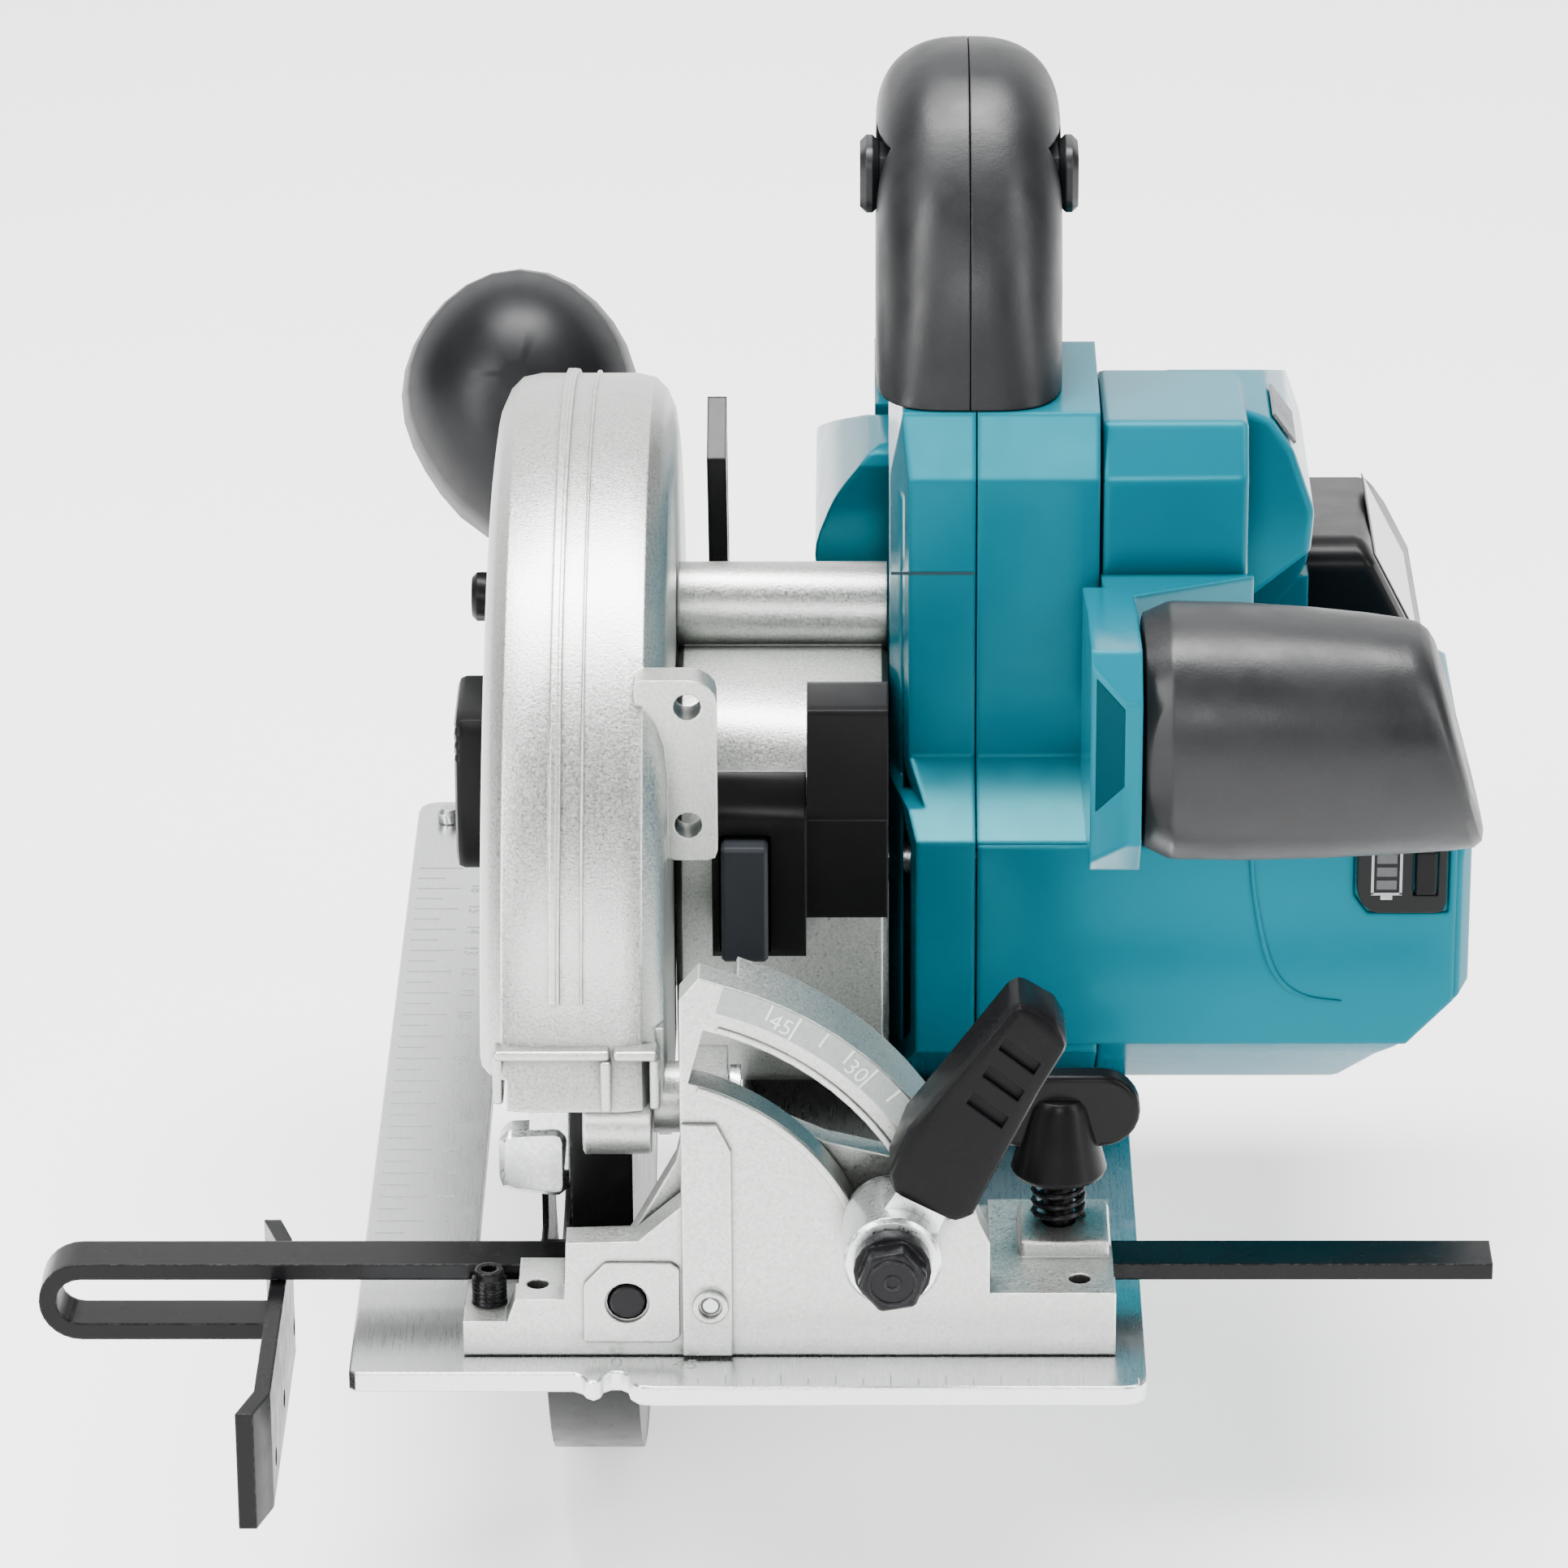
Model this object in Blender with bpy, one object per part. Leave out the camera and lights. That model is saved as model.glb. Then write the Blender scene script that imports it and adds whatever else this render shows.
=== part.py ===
"""Cordless circular saw with a 190 mm blade, as an assembly of named parts.

Metres, +Z up, the cut runs toward -Y. The origin is on the underside of the base,
at the middle of the plate. The helpers take millimetres.
"""

import math

import bmesh
import bpy
from mathutils import Vector

MM = 0.001

# Base plate
BASE_HALF_WIDTH = 72.7
BASE_FRONT = -130.0
BASE_REAR = 130.0
BASE_THICK = 4.0
SLOT_LEFT, SLOT_RIGHT = -51.4, -2.6
SLOT_FRONT, SLOT_REAR = -89.9, 107.0

# Axes: bevel runs along Y, depth and blade along X
BEVEL_X, BEVEL_Z = -22.0, 15.3
DEPTH_Y, DEPTH_Z = -92.0, 44.0
BLADE_X, BLADE_Y, BLADE_Z = -31.0, 8.0, 27.0
MOTOR_Y, MOTOR_Z = 10.0, 46.0

# Blade, guard and case
BLADE_THICK = 1.8
BLADE_TEETH = 24
GUARD_RADIUS = 97.6
CASE_RADIUS = 113.0
CASE_LEFT, CASE_RIGHT = -49.2, -15.0

# Bevel quadrant
QUAD_FRONT = -118.0
QUAD_SLOT_IN, QUAD_SLOT_OUT = 45.6, 56.6
QUAD_OUTER = 66.0
BEVEL_BOLT_X, BEVEL_BOLT_Z = 26.2, 32.6

# Depth guide arc, about the depth axis
GUIDE_RADIUS = 160.0
GUIDE_HALF = 8.0
GUIDE_SLOT = 3.2

# Rip fence bar
BAR_FRONT, BAR_REAR = -99.5, -90.0
BAR_LOW, BAR_HIGH = 10.0, 13.2
CLAMP_X, CLAMP_Y = 57.0, -94.7

# Housing
SEAM_X = 42.6
GRIP_X = 41.4
GRIP_HALF_WIDTH = 17.7
HOUSING_LEFT, HOUSING_RIGHT = 26.2, 65.9
MOTOR_RIGHT = 137.0

COLOURS = {
    "teal": ((0.003, 0.205, 0.270, 1.0), 0.32, 0.0),
    "rubber": ((0.045, 0.048, 0.050, 1.0), 0.62, 0.0),
    "black": ((0.018, 0.018, 0.020, 1.0), 0.38, 0.0),
    "cast": ((0.600, 0.620, 0.590, 1.0), 0.45, 0.85),
    "plate": ((0.680, 0.690, 0.700, 1.0), 0.28, 1.0),
    "steel": ((0.560, 0.570, 0.580, 1.0), 0.30, 1.0),
    "dark_steel": ((0.040, 0.040, 0.043, 1.0), 0.40, 0.6),
    "zinc": ((0.720, 0.740, 0.740, 1.0), 0.35, 0.9),
    "copper": ((0.720, 0.310, 0.150, 1.0), 0.35, 1.0),
    "red": ((0.550, 0.025, 0.020, 1.0), 0.40, 0.0),
    "grey": ((0.160, 0.170, 0.180, 1.0), 0.50, 0.0),
    "label": ((0.620, 0.640, 0.650, 1.0), 0.45, 0.0),
}


# ---------------------------------------------------------------- helpers


def clear_scene():
    for obj in list(bpy.data.objects):
        bpy.data.objects.remove(obj)


def from_bmesh(bm):
    bmesh.ops.recalc_face_normals(bm, faces=bm.faces)
    mesh = bpy.data.meshes.new("mesh")
    bm.to_mesh(mesh)
    bm.free()
    obj = bpy.data.objects.new("piece", mesh)
    bpy.context.collection.objects.link(obj)
    return obj


def on_axis(axis, u, v, w):
    """The point with (u, v) across the axis and w along it: X takes (Y, Z), Y (X, Z), Z (X, Y)."""
    if axis == "X":
        return Vector((w, u, v)) * MM
    if axis == "Y":
        return Vector((u, w, v)) * MM
    return Vector((u, v, w)) * MM


def prism(axis, outline, low, high):
    bm = bmesh.new()
    start = [bm.verts.new(on_axis(axis, u, v, low)) for u, v in outline]
    end = [bm.verts.new(on_axis(axis, u, v, high)) for u, v in outline]
    bm.faces.new(start)
    bm.faces.new(end)
    for index in range(len(outline)):
        after = (index + 1) % len(outline)
        bm.faces.new((start[index], start[after], end[after], end[index]))
    return from_bmesh(bm)


def box(x0, x1, y0, y1, z0, z1):
    return prism("Z", [(x0, y0), (x1, y0), (x1, y1), (x0, y1)], z0, z1)


def circle(u, v, radius, count=24, turn=0.0):
    step = 2 * math.pi / count
    return [
        (u + radius * math.cos(turn + index * step), v + radius * math.sin(turn + index * step))
        for index in range(count)
    ]


def cylinder(axis, u, v, radius, low, high, count=24, turn=0.0):
    return prism(axis, circle(u, v, radius, count, turn), low, high)


def arc(u, v, radius, start, end, count):
    """Points from start to end, in degrees, with both ends."""
    points = []
    for index in range(count + 1):
        angle = math.radians(start + (end - start) * index / count)
        points.append((u + radius * math.cos(angle), v + radius * math.sin(angle)))
    return points


def sector(u, v, inner, outer, start, end, count):
    """Outline of part of a ring, from start to end in degrees."""
    return arc(u, v, outer, start, end, count) + arc(u, v, inner, end, start, count)


def rounded(outline, radius, count=3):
    """The outline with each corner replaced by an arc."""
    points = []
    for index, corner in enumerate(outline):
        here = Vector(corner)
        before = Vector(outline[index - 1]) - here
        after = Vector(outline[(index + 1) % len(outline)]) - here
        reach = min(radius, before.length * 0.45, after.length * 0.45)
        first = here + before.normalized() * reach
        last = here + after.normalized() * reach
        for step in range(count + 1):
            t = step / count
            point = (1 - t) ** 2 * first + 2 * t * (1 - t) * here + t**2 * last
            points.append((point.x, point.y))
    return points


def lathe(axis, u, v, profile, count=32):
    """Turns a closed (radius, along) profile about the axis through (u, v)."""
    bm = bmesh.new()
    rings = []
    for radius, along in profile:
        if radius < 1e-6:
            rings.append([bm.verts.new(on_axis(axis, u, v, along))])
        else:
            points = circle(u, v, radius, count)
            rings.append([bm.verts.new(on_axis(axis, p, q, along)) for p, q in points])
    for index, ring in enumerate(rings):
        following = rings[(index + 1) % len(rings)]
        if len(ring) == 1 and len(following) == 1:
            continue
        for place in range(count):
            after = (place + 1) % count
            if len(ring) == 1:
                bm.faces.new((ring[0], following[place], following[after]))
            elif len(following) == 1:
                bm.faces.new((ring[place], following[0], ring[after]))
            else:
                bm.faces.new((ring[place], following[place], following[after], ring[after]))
    return from_bmesh(bm)


def loft(rings):
    """A closed body through rings of equal length, given in millimetres."""
    bm = bmesh.new()
    made = [[bm.verts.new(Vector(point) * MM) for point in ring] for ring in rings]
    bm.faces.new(made[0])
    bm.faces.new(made[-1])
    count = len(made[0])
    for ring, following in zip(made, made[1:]):
        for place in range(count):
            after = (place + 1) % count
            bm.faces.new((ring[place], following[place], following[after], ring[after]))
    return from_bmesh(bm)


def bake(body):
    bpy.context.view_layer.update()
    graph = bpy.context.evaluated_depsgraph_get()
    mesh = bpy.data.meshes.new_from_object(body.evaluated_get(graph))
    body.modifiers.clear()
    body.data = mesh


def combine(body, other, operation):
    modifier = body.modifiers.new("combine", "BOOLEAN")
    modifier.operation = operation
    modifier.solver = "EXACT"
    modifier.object = other
    bake(body)
    bpy.data.objects.remove(other)


def carve(body, *cutters):
    for cutter in cutters:
        combine(body, cutter, "DIFFERENCE")
    return body


def fuse(body, *others):
    for other in others:
        combine(body, other, "UNION")
    return body


def clip(body, other):
    combine(body, other, "INTERSECT")
    return body


def soften(body, width, segments=2, angle=35.0):
    modifier = body.modifiers.new("soften", "BEVEL")
    modifier.width = width * MM
    modifier.segments = segments
    modifier.limit_method = "ANGLE"
    modifier.angle_limit = math.radians(angle)
    modifier.harden_normals = False
    bake(body)
    return body


def turned(body, axis, centre, degrees):
    """Turns the body about an axis through the centre, in millimetres."""
    angle = math.radians(degrees)
    cos, sin = math.cos(angle), math.sin(angle)
    middle = Vector(centre) * MM
    for vertex in body.data.vertices:
        x, y, z = vertex.co - middle
        if axis == "X":
            y, z = y * cos - z * sin, y * sin + z * cos
        elif axis == "Y":
            x, z = x * cos + z * sin, -x * sin + z * cos
        else:
            x, y = x * cos - y * sin, x * sin + y * cos
        vertex.co = Vector((x, y, z)) + middle
    return body


def node(name, body, colour, origin=(0.0, 0.0, 0.0)):
    """Names the body, gives it its material and puts its origin where its joint is."""
    middle = Vector(origin) * MM
    for vertex in body.data.vertices:
        vertex.co -= middle
    body.location = middle
    body.name = name
    body.data.name = name
    base, roughness, metallic = COLOURS[colour]
    material = bpy.data.materials.new(name)
    material.use_nodes = True
    shader = material.node_tree.nodes["Principled BSDF"]
    shader.inputs["Base Color"].default_value = base
    shader.inputs["Roughness"].default_value = roughness
    shader.inputs["Metallic"].default_value = metallic
    material.diffuse_color = base
    body.data.materials.clear()
    body.data.materials.append(material)
    return body


# ---------------------------------------------------------------- base


def base_plate():
    outline = [
        (-BASE_HALF_WIDTH, -124.6),
        (-30.5, -124.6),
        (-29.0, -128.0),
        (-27.0, -128.0),
        (-26.0, -124.0),
        (-22.0, -124.0),
        (-21.0, -129.0),
        (-18.0, BASE_FRONT),
        (BASE_HALF_WIDTH, BASE_FRONT),
        (BASE_HALF_WIDTH, BASE_REAR),
        (-BASE_HALF_WIDTH, BASE_REAR),
    ]
    outline = rounded(outline, 1.2, 1)[:16] + rounded(outline, 5.0, 4)[40:]
    body = prism("Z", outline, 0.0, BASE_THICK)
    soften(body, 0.7, 1, 60.0)
    slot = [
        (SLOT_LEFT, SLOT_FRONT),
        (SLOT_RIGHT, SLOT_FRONT),
        (SLOT_RIGHT, SLOT_REAR),
        (SLOT_LEFT, SLOT_REAR),
    ]
    carve(body, prism("Z", rounded(slot, 4.0, 3), -5.0, 10.0))
    node("base_plate", body, "plate")


def quadrant_outline():
    """The front wall seen from the front, as (X, Z)."""
    outline = [
        (-52.0, 4.3),
        (-52.0, 11.0),
        (-44.0, 11.0),
        (-42.5, 15.5),
        (-33.5, 15.5),
        (-33.0, 27.0),
        (-20.0, 27.4),
        (-12.0, 34.5),
        (-12.0, 76.0),
        (-8.5, 80.3),
    ]
    outline += arc(BEVEL_X, BEVEL_Z, QUAD_OUTER, 74.0, 14.0, 12)
    outline += [(44.0, 27.0), (44.0, 16.8), (67.0, 16.8), (67.0, 4.3)]
    return outline


def quadrant_bracket():
    wall = prism("Y", quadrant_outline(), QUAD_FRONT, -111.4)
    slot = sector(BEVEL_X, BEVEL_Z, QUAD_SLOT_IN, QUAD_SLOT_OUT, 13.0, 75.4, 14)
    carve(wall, prism("Y", slot, -130.0, -100.0))
    rim = prism("Y", sector(BEVEL_X, BEVEL_Z, 60.0, QUAD_OUTER, 17.0, 72.0, 12), -112.0, -104.0)
    floor = box(-52.0, -5.0, -117.8, -90.0, 4.3, 9.2)
    lug = box(-51.8, -31.0, -117.8, -101.0, 4.3, 10.9)
    post = box(-42.0, -33.6, -117.8, -101.0, 8.0, 15.4)
    block = box(-5.2, 66.8, -117.8, -79.0, 4.4, 15.0)
    right = box(44.2, 66.8, -117.8, -80.0, 10.0, 16.7)
    clamp = box(49.5, 66.5, -103.5, -85.5, 10.0, 20.0)
    soften(clamp, 1.5, 2, 35.0)
    fuse(wall, rim, floor, lug, post, block, right, clamp)
    carve(
        wall,
        box(-60.0, 80.0, BAR_FRONT - 0.6, BAR_REAR + 0.6, BAR_LOW - 0.5, BAR_HIGH + 0.6),
        box(-16.0, 43.0, -111.3, -100.4, 14.3, 30.0),
        cylinder("Y", BEVEL_X, BEVEL_Z, 3.7, -130.0, -108.0, 16),
        cylinder("Z", CLAMP_X, CLAMP_Y, 3.3, 12.0, 30.0, 16),
        cylinder("Z", -47.5, -109.5, 3.2, 6.0, 20.0, 16),
        cylinder("Z", -38.5, -111.5, 2.1, 9.0, 20.0, 12),
        cylinder("Z", 60.5, -112.0, 2.1, 9.0, 20.0, 12),
    )
    node("quadrant_bracket", wall, "cast")


def rear_bracket():
    outline = [(-36.0, 4.3), (-2.0, 4.3), (-2.0, 9.0), (-13.0, 9.0), (-15.0, 20.0)]
    outline += [(-18.0, 23.5), (-26.0, 23.5), (-29.0, 20.0), (-31.0, 9.0), (-36.0, 9.0)]
    body = prism("Y", outline, 118.0, 126.0)
    soften(body, 0.8, 1)
    carve(body, cylinder("Y", BEVEL_X, BEVEL_Z, 3.7, 110.0, 130.0, 16))
    node("rear_bracket", body, "cast")


def pivot_pins():
    profile = [(0.0, -118.6), (3.0, -118.6), (3.4, -118.1), (3.4, -102.4), (0.0, -102.4)]
    node("front_pivot_pin", lathe("Y", BEVEL_X, BEVEL_Z, profile, 16), "dark_steel")
    profile = [(0.0, 109.4), (3.4, 109.4), (3.4, 126.1), (3.0, 126.6), (0.0, 126.6)]
    node("rear_pivot_pin", lathe("Y", BEVEL_X, BEVEL_Z, profile, 16), "dark_steel")


def small_base_parts():
    profile = [(0.0, 9.4), (2.8, 9.4), (2.8, 17.0), (2.5, 17.6), (1.5, 17.6), (1.5, 15.0)]
    screw = lathe("Z", -47.5, -109.5, profile + [(0.0, 15.0)], 16)
    node("stop_screw", screw, "dark_steel")
    profile = [(0.0, -118.3), (0.0, -119.4), (1.4, -119.4), (2.0, -118.9), (2.0, -118.3)]
    node("column_rivet", lathe("Y", -6.8, 15.0, profile, 14), "steel")
    profile = [(0.0, 4.2), (0.0, 7.0), (1.6, 7.0), (2.4, 6.2), (2.4, 4.2)]
    node("corner_rivet", lathe("Z", -66.0, 120.0, profile, 14), "steel")


def clamp_spring():
    """One coil of wire round the clamp screw, from the clamp block to the screw's collar."""
    turns, steps, sides = 4, 14, 6
    low, high, radius, wire = 20.9, 29.6, 4.6, 0.6
    rings = []
    for index in range(turns * steps + 1):
        angle = 2 * math.pi * index / steps
        height = low + (high - low) * index / (turns * steps)
        ring = []
        for side in range(sides):
            around = 2 * math.pi * side / sides
            reach = radius + wire * math.cos(around)
            x = CLAMP_X + reach * math.cos(angle)
            y = CLAMP_Y + reach * math.sin(angle)
            ring.append((x, y, height + wire * math.sin(around)))
        rings.append(ring)
    node("clamp_spring", loft(rings), "steel")


# ---------------------------------------------------------------- fence and clamp screw


def rip_fence():
    inner, outer = 4.6, 7.8
    middle = -131.5 + outer
    turn = BAR_HIGH - outer
    outline = [(137.0, BAR_HIGH), (137.0, BAR_LOW)]
    outline += arc(middle, turn, inner, 90.0, 270.0, 10)
    outline += [(-87.4, turn - inner), (-87.4, turn - outer)]
    outline += arc(middle, turn, outer, 270.0, 90.0, 14)
    bar = prism("Y", outline, BAR_FRONT, BAR_REAR)
    flare = [
        (-91.4, -150.0),
        (-88.2, -150.0),
        (-85.6, -142.0),
        (-85.6, -82.0),
        (-88.2, -74.0),
        (-91.4, -74.0),
        (-88.6, -82.6),
        (-88.6, -141.4),
    ]
    plate = prism("Z", flare, -14.0, 9.4)
    fuse(bar, plate)
    for place in (-134.0, -112.0, -84.0):
        carve(bar, cylinder("X", place, -8.0, 1.8, -110.0, -80.0, 12))
    node("rip_fence", bar, "dark_steel", (0.0, CLAMP_Y, 11.6))


def wing_screw():
    profile = [
        (0.0, 14.0),
        (2.9, 14.0),
        (2.9, 30.2),
        (6.9, 30.2),
        (6.9, 31.5),
        (5.2, 41.0),
        (5.2, 47.0),
        (4.2, 48.5),
        (0.0, 48.5),
    ]
    body = lathe("Z", CLAMP_X, CLAMP_Y, profile, 20)
    wing = [
        (-14.4, 38.2),
        (-10.0, 36.0),
        (10.0, 36.0),
        (14.4, 38.2),
        (15.2, 43.5),
        (12.6, 49.5),
        (7.0, 51.5),
        (3.0, 49.0),
        (-3.0, 49.0),
        (-7.0, 51.5),
        (-12.6, 49.5),
        (-15.2, 43.5),
    ]
    wing = [(CLAMP_X + x, z) for x, z in wing]
    plate = prism("Y", rounded(wing, 2.5, 2), CLAMP_Y - 2.8, CLAMP_Y + 2.8)
    soften(plate, 1.0, 1, 60.0)
    fuse(body, plate)
    node("wing_screw", body, "black", (CLAMP_X, CLAMP_Y, 30.0))


# ---------------------------------------------------------------- bevel frame


def angular_plate():
    outline = arc(BEVEL_X, BEVEL_Z, 4.9, 200.0, 300.0, 6)
    outline += [(-14.0, 15.6), (18.0, 16.0), (33.0, 21.0), (35.0, 31.0), (30.0, 40.0)]
    outline += [(14.0, 44.0), (-3.6, 52.0), (-10.4, 52.0), (-13.0, 40.0), (-24.0, 19.8)]
    plate = prism("Y", outline, -110.4, -105.4)
    knuckle = cylinder("Y", BEVEL_X, BEVEL_Z, 4.9, -110.4, -101.6, 20)
    ear = [(-110.3, 34.0), (-84.0, 36.0), (-84.0, 52.0), (-110.3, 52.0)]
    fuse(plate, knuckle, prism("X", rounded(ear, 4.0), -10.2, -3.8))
    carve(
        plate,
        cylinder("Y", BEVEL_X, BEVEL_Z, 3.6, -120.0, -95.0, 16),
        cylinder("Y", BEVEL_BOLT_X, BEVEL_BOLT_Z, 4.3, -120.0, -95.0, 16),
        cylinder("X", DEPTH_Y, DEPTH_Z, 4.2, -20.0, 0.0, 16),
    )
    node("angular_plate", plate, "cast", (BEVEL_X, 0.0, BEVEL_Z))


def bevel_bolt():
    profile = [(0.0, -139.6), (7.0, -139.6), (7.0, -136.8), (4.0, -136.8), (4.0, -101.0)]
    body = lathe("Y", BEVEL_BOLT_X, BEVEL_BOLT_Z, profile + [(0.0, -101.0)], 18)
    head = prism("Y", circle(BEVEL_BOLT_X, BEVEL_BOLT_Z, 6.4, 6, math.radians(10.0)), -144.0, -138.6)
    soften(head, 0.5, 1)
    fuse(body, head)
    node("bevel_bolt", body, "dark_steel", (BEVEL_X, 0.0, BEVEL_Z))
    profile = [(4.3, -120.6), (8.6, -120.6), (8.6, -118.3), (4.3, -118.3)]
    washer = lathe("Y", BEVEL_BOLT_X, BEVEL_BOLT_Z, profile, 24)
    node("bevel_washer", washer, "steel", (BEVEL_X, 0.0, BEVEL_Z))


def lever_frame(along, across):
    """The point (X, Z) a distance along and across the bevel lever."""
    angle = math.radians(62.0)
    cos, sin = math.cos(angle), math.sin(angle)
    return (
        BEVEL_BOLT_X + along * cos - across * sin,
        BEVEL_BOLT_Z + along * sin + across * cos,
    )


def bevel_lever():
    profile = [(4.3, -136.5), (8.2, -136.5), (8.9, -135.7), (8.9, -121.0), (4.3, -121.0)]
    arm = lathe("Y", BEVEL_BOLT_X, BEVEL_BOLT_Z, profile, 28)
    strip = [lever_frame(*p) for p in [(5.0, -5.5), (34.0, -3.2), (34.0, 3.2), (5.0, 5.5)]]
    fuse(arm, prism("Y", strip, -132.0, -126.0))
    node("bevel_lever", arm, "zinc", (BEVEL_BOLT_X, 0.0, BEVEL_BOLT_Z))
    shape = [
        (11.6, -6.6),
        (14.5, -8.6),
        (22.0, -8.2),
        (42.0, -7.4),
        (52.5, -7.6),
        (55.5, -3.0),
        (56.0, 4.6),
        (53.5, 5.4),
        (33.0, 8.4),
        (24.0, 9.8),
        (15.0, 8.6),
        (11.6, 6.4),
    ]
    grip = prism("Y", [lever_frame(*p) for p in shape], -136.0, -122.4)
    soften(grip, 2.0, 2, 40.0)
    pocket = [(5.0, -5.8), (34.4, -3.5), (34.4, 3.5), (5.0, 5.8)]
    carve(grip, prism("Y", [lever_frame(*p) for p in pocket], -132.3, -125.7))
    for along in (34.0, 40.0, 46.0):
        groove = [(-1.3, -4.6), (1.3, -4.6), (2.8, 3.4), (0.2, 3.4)]
        groove = [lever_frame(along + reach, across) for reach, across in groove]
        carve(grip, prism("Y", groove, -140.0, -134.8))
    node("lever_grip", grip, "rubber", (BEVEL_BOLT_X, 0.0, BEVEL_BOLT_Z))


def depth_guide():
    inner, outer = GUIDE_RADIUS - GUIDE_HALF, GUIDE_RADIUS + GUIDE_HALF
    plate = prism("X", sector(DEPTH_Y, DEPTH_Z, inner, outer, -13.0, 28.7, 18), -9.4, -5.6)
    foot = [(50.0, 10.4), (117.0, 10.4), (117.0, 20.2), (72.0, 22.0)]
    fuse(plate, prism("X", foot, -9.3, -5.7))
    arm = [(-22.0, 10.4), (-5.8, 10.4), (-5.8, 20.2), (-22.0, 20.2)]
    fuse(plate, prism("Y", arm, 109.6, 116.8))
    fuse(plate, cylinder("Y", BEVEL_X, BEVEL_Z, 4.9, 109.7, 116.7, 20))
    inner, outer = GUIDE_RADIUS - GUIDE_SLOT, GUIDE_RADIUS + GUIDE_SLOT
    slot = sector(DEPTH_Y, DEPTH_Z, inner, outer, -11.4, 26.9, 18)
    carve(
        plate,
        prism("X", slot, -15.0, 0.0),
        cylinder("Y", BEVEL_X, BEVEL_Z, 3.6, 100.0, 130.0, 16),
    )
    node("depth_guide", plate, "dark_steel", (BEVEL_X, 0.0, BEVEL_Z))


def depth_shaft():
    profile = [(0.0, -17.8), (3.9, -17.8), (3.9, -3.4), (6.0, -3.4), (6.0, -1.4), (0.0, -1.4)]
    body = lathe("X", DEPTH_Y, DEPTH_Z, profile, 18)
    node("depth_shaft", body, "steel", (BEVEL_X, 0.0, BEVEL_Z))


# ---------------------------------------------------------------- blade group


def blade_outline():
    points = []
    step = 360.0 / BLADE_TEETH
    for tooth in range(BLADE_TEETH):
        start = tooth * step
        for radius, angle in ((95.0, 0.0), (93.6, 3.2), (91.4, 7.0), (86.2, 12.2), (86.6, 14.0)):
            turn = math.radians(start - angle)
            points.append((radius, turn))
    points.sort(key=lambda item: -item[1])
    return [(BLADE_Y + r * math.cos(a), BLADE_Z + r * math.sin(a)) for r, a in points]


def blade_group():
    axis = (BLADE_X, BLADE_Y, BLADE_Z)
    half = BLADE_THICK / 2
    blade = prism("X", blade_outline(), BLADE_X - half, BLADE_X + half)
    carve(blade, cylinder("X", BLADE_Y, BLADE_Z, 10.1, -40.0, -20.0, 24))
    node("saw_blade", blade, "steel", axis)
    profile = [(10.1, -30.0), (17.5, -30.0), (17.5, -28.4), (13.0, -26.0), (10.1, -26.0)]
    node("inner_flange", lathe("X", BLADE_Y, BLADE_Z, profile, 24), "steel", axis)
    profile = [
        (4.6, -37.0),
        (12.0, -37.0),
        (18.0, -34.0),
        (18.0, -32.0),
        (10.2, -32.0),
        (10.2, -34.2),
        (4.6, -34.2),
    ]
    node("outer_flange", lathe("X", BLADE_Y, BLADE_Z, profile, 24), "steel", axis)
    profile = [(0.0, -39.0), (9.0, -39.0), (9.0, -37.2), (4.0, -37.2), (4.0, -22.0), (0.0, -22.0)]
    bolt = lathe("X", BLADE_Y, BLADE_Z, profile, 20)
    fuse(bolt, prism("X", circle(BLADE_Y, BLADE_Z, 7.4, 6), -44.6, -38.2))
    node("blade_bolt", bolt, "dark_steel", axis)
    profile = [
        (4.2, -34.0),
        (9.9, -34.0),
        (9.9, -25.0),
        (7.4, -24.0),
        (7.4, 1.6),
        (6.0, 1.6),
        (6.0, 22.0),
        (0.0, 22.0),
        (0.0, -21.0),
        (4.2, -21.0),
    ]
    node("spindle", lathe("X", BLADE_Y, BLADE_Z, profile, 20), "steel", axis)
    teeth = []
    for index in range(28):
        for radius, offset in ((13.8, 0.0), (13.8, 3.0), (15.1, 5.0), (15.1, 8.0)):
            turn = math.radians(index * 360 / 28 + offset)
            teeth.append((BLADE_Y + radius * math.cos(turn), BLADE_Z + radius * math.sin(turn)))
    gear = prism("X", teeth, 2.0, 11.0)
    carve(gear, cylinder("X", BLADE_Y, BLADE_Z, 6.2, 0.0, 20.0, 20))
    node("spindle_gear", gear, "steel", axis)


def lower_guard():
    start, end, steps = 168.0, 365.0, 34
    left = sector(BLADE_Y, BLADE_Z, 62.0, 97.0, start + 2, end - 2, steps)
    right = sector(BLADE_Y, BLADE_Z, 27.0, 97.0, start + 2, end - 2, steps)
    rim = sector(BLADE_Y, BLADE_Z, 96.2, GUARD_RADIUS, start, end, steps)
    rim = prism("X", rim, -38.9, -21.6)
    hub = carve(
        cylinder("X", BLADE_Y, BLADE_Z, 31.0, -23.2, -20.2, 32),
        cylinder("X", BLADE_Y, BLADE_Z, 25.4, -30.0, -10.0, 32),
    )
    fuse(rim, prism("X", left, -38.8, -37.6), prism("X", right, -22.9, -21.7), hub)
    carve(rim, box(-60.0, -33.0, -110.0, -81.6, 12.0, 60.0))
    node("lower_guard", rim, "black", (BLADE_X, BLADE_Y, BLADE_Z))


def guard_lever():
    """The thumb lever that fills the notch at the guard's front end."""
    arm = [(-88.2, 26.0), (-84.2, 26.0), (-82.6, 44.0), (-86.4, 45.6)]
    arm = prism("X", rounded(arm, 1.0, 1), -40.6, -33.4)
    tab = [(-46.4, 22.6), (-33.4, 20.9), (-33.4, 35.4), (-46.4, 34.8)]
    tab = prism("Y", rounded(tab, 2.6, 2), -88.4, -82.4)
    soften(tab, 1.2, 1, 50.0)
    fuse(arm, tab)
    node("guard_lever", arm, "zinc", (BLADE_X, BLADE_Y, BLADE_Z))


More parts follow.
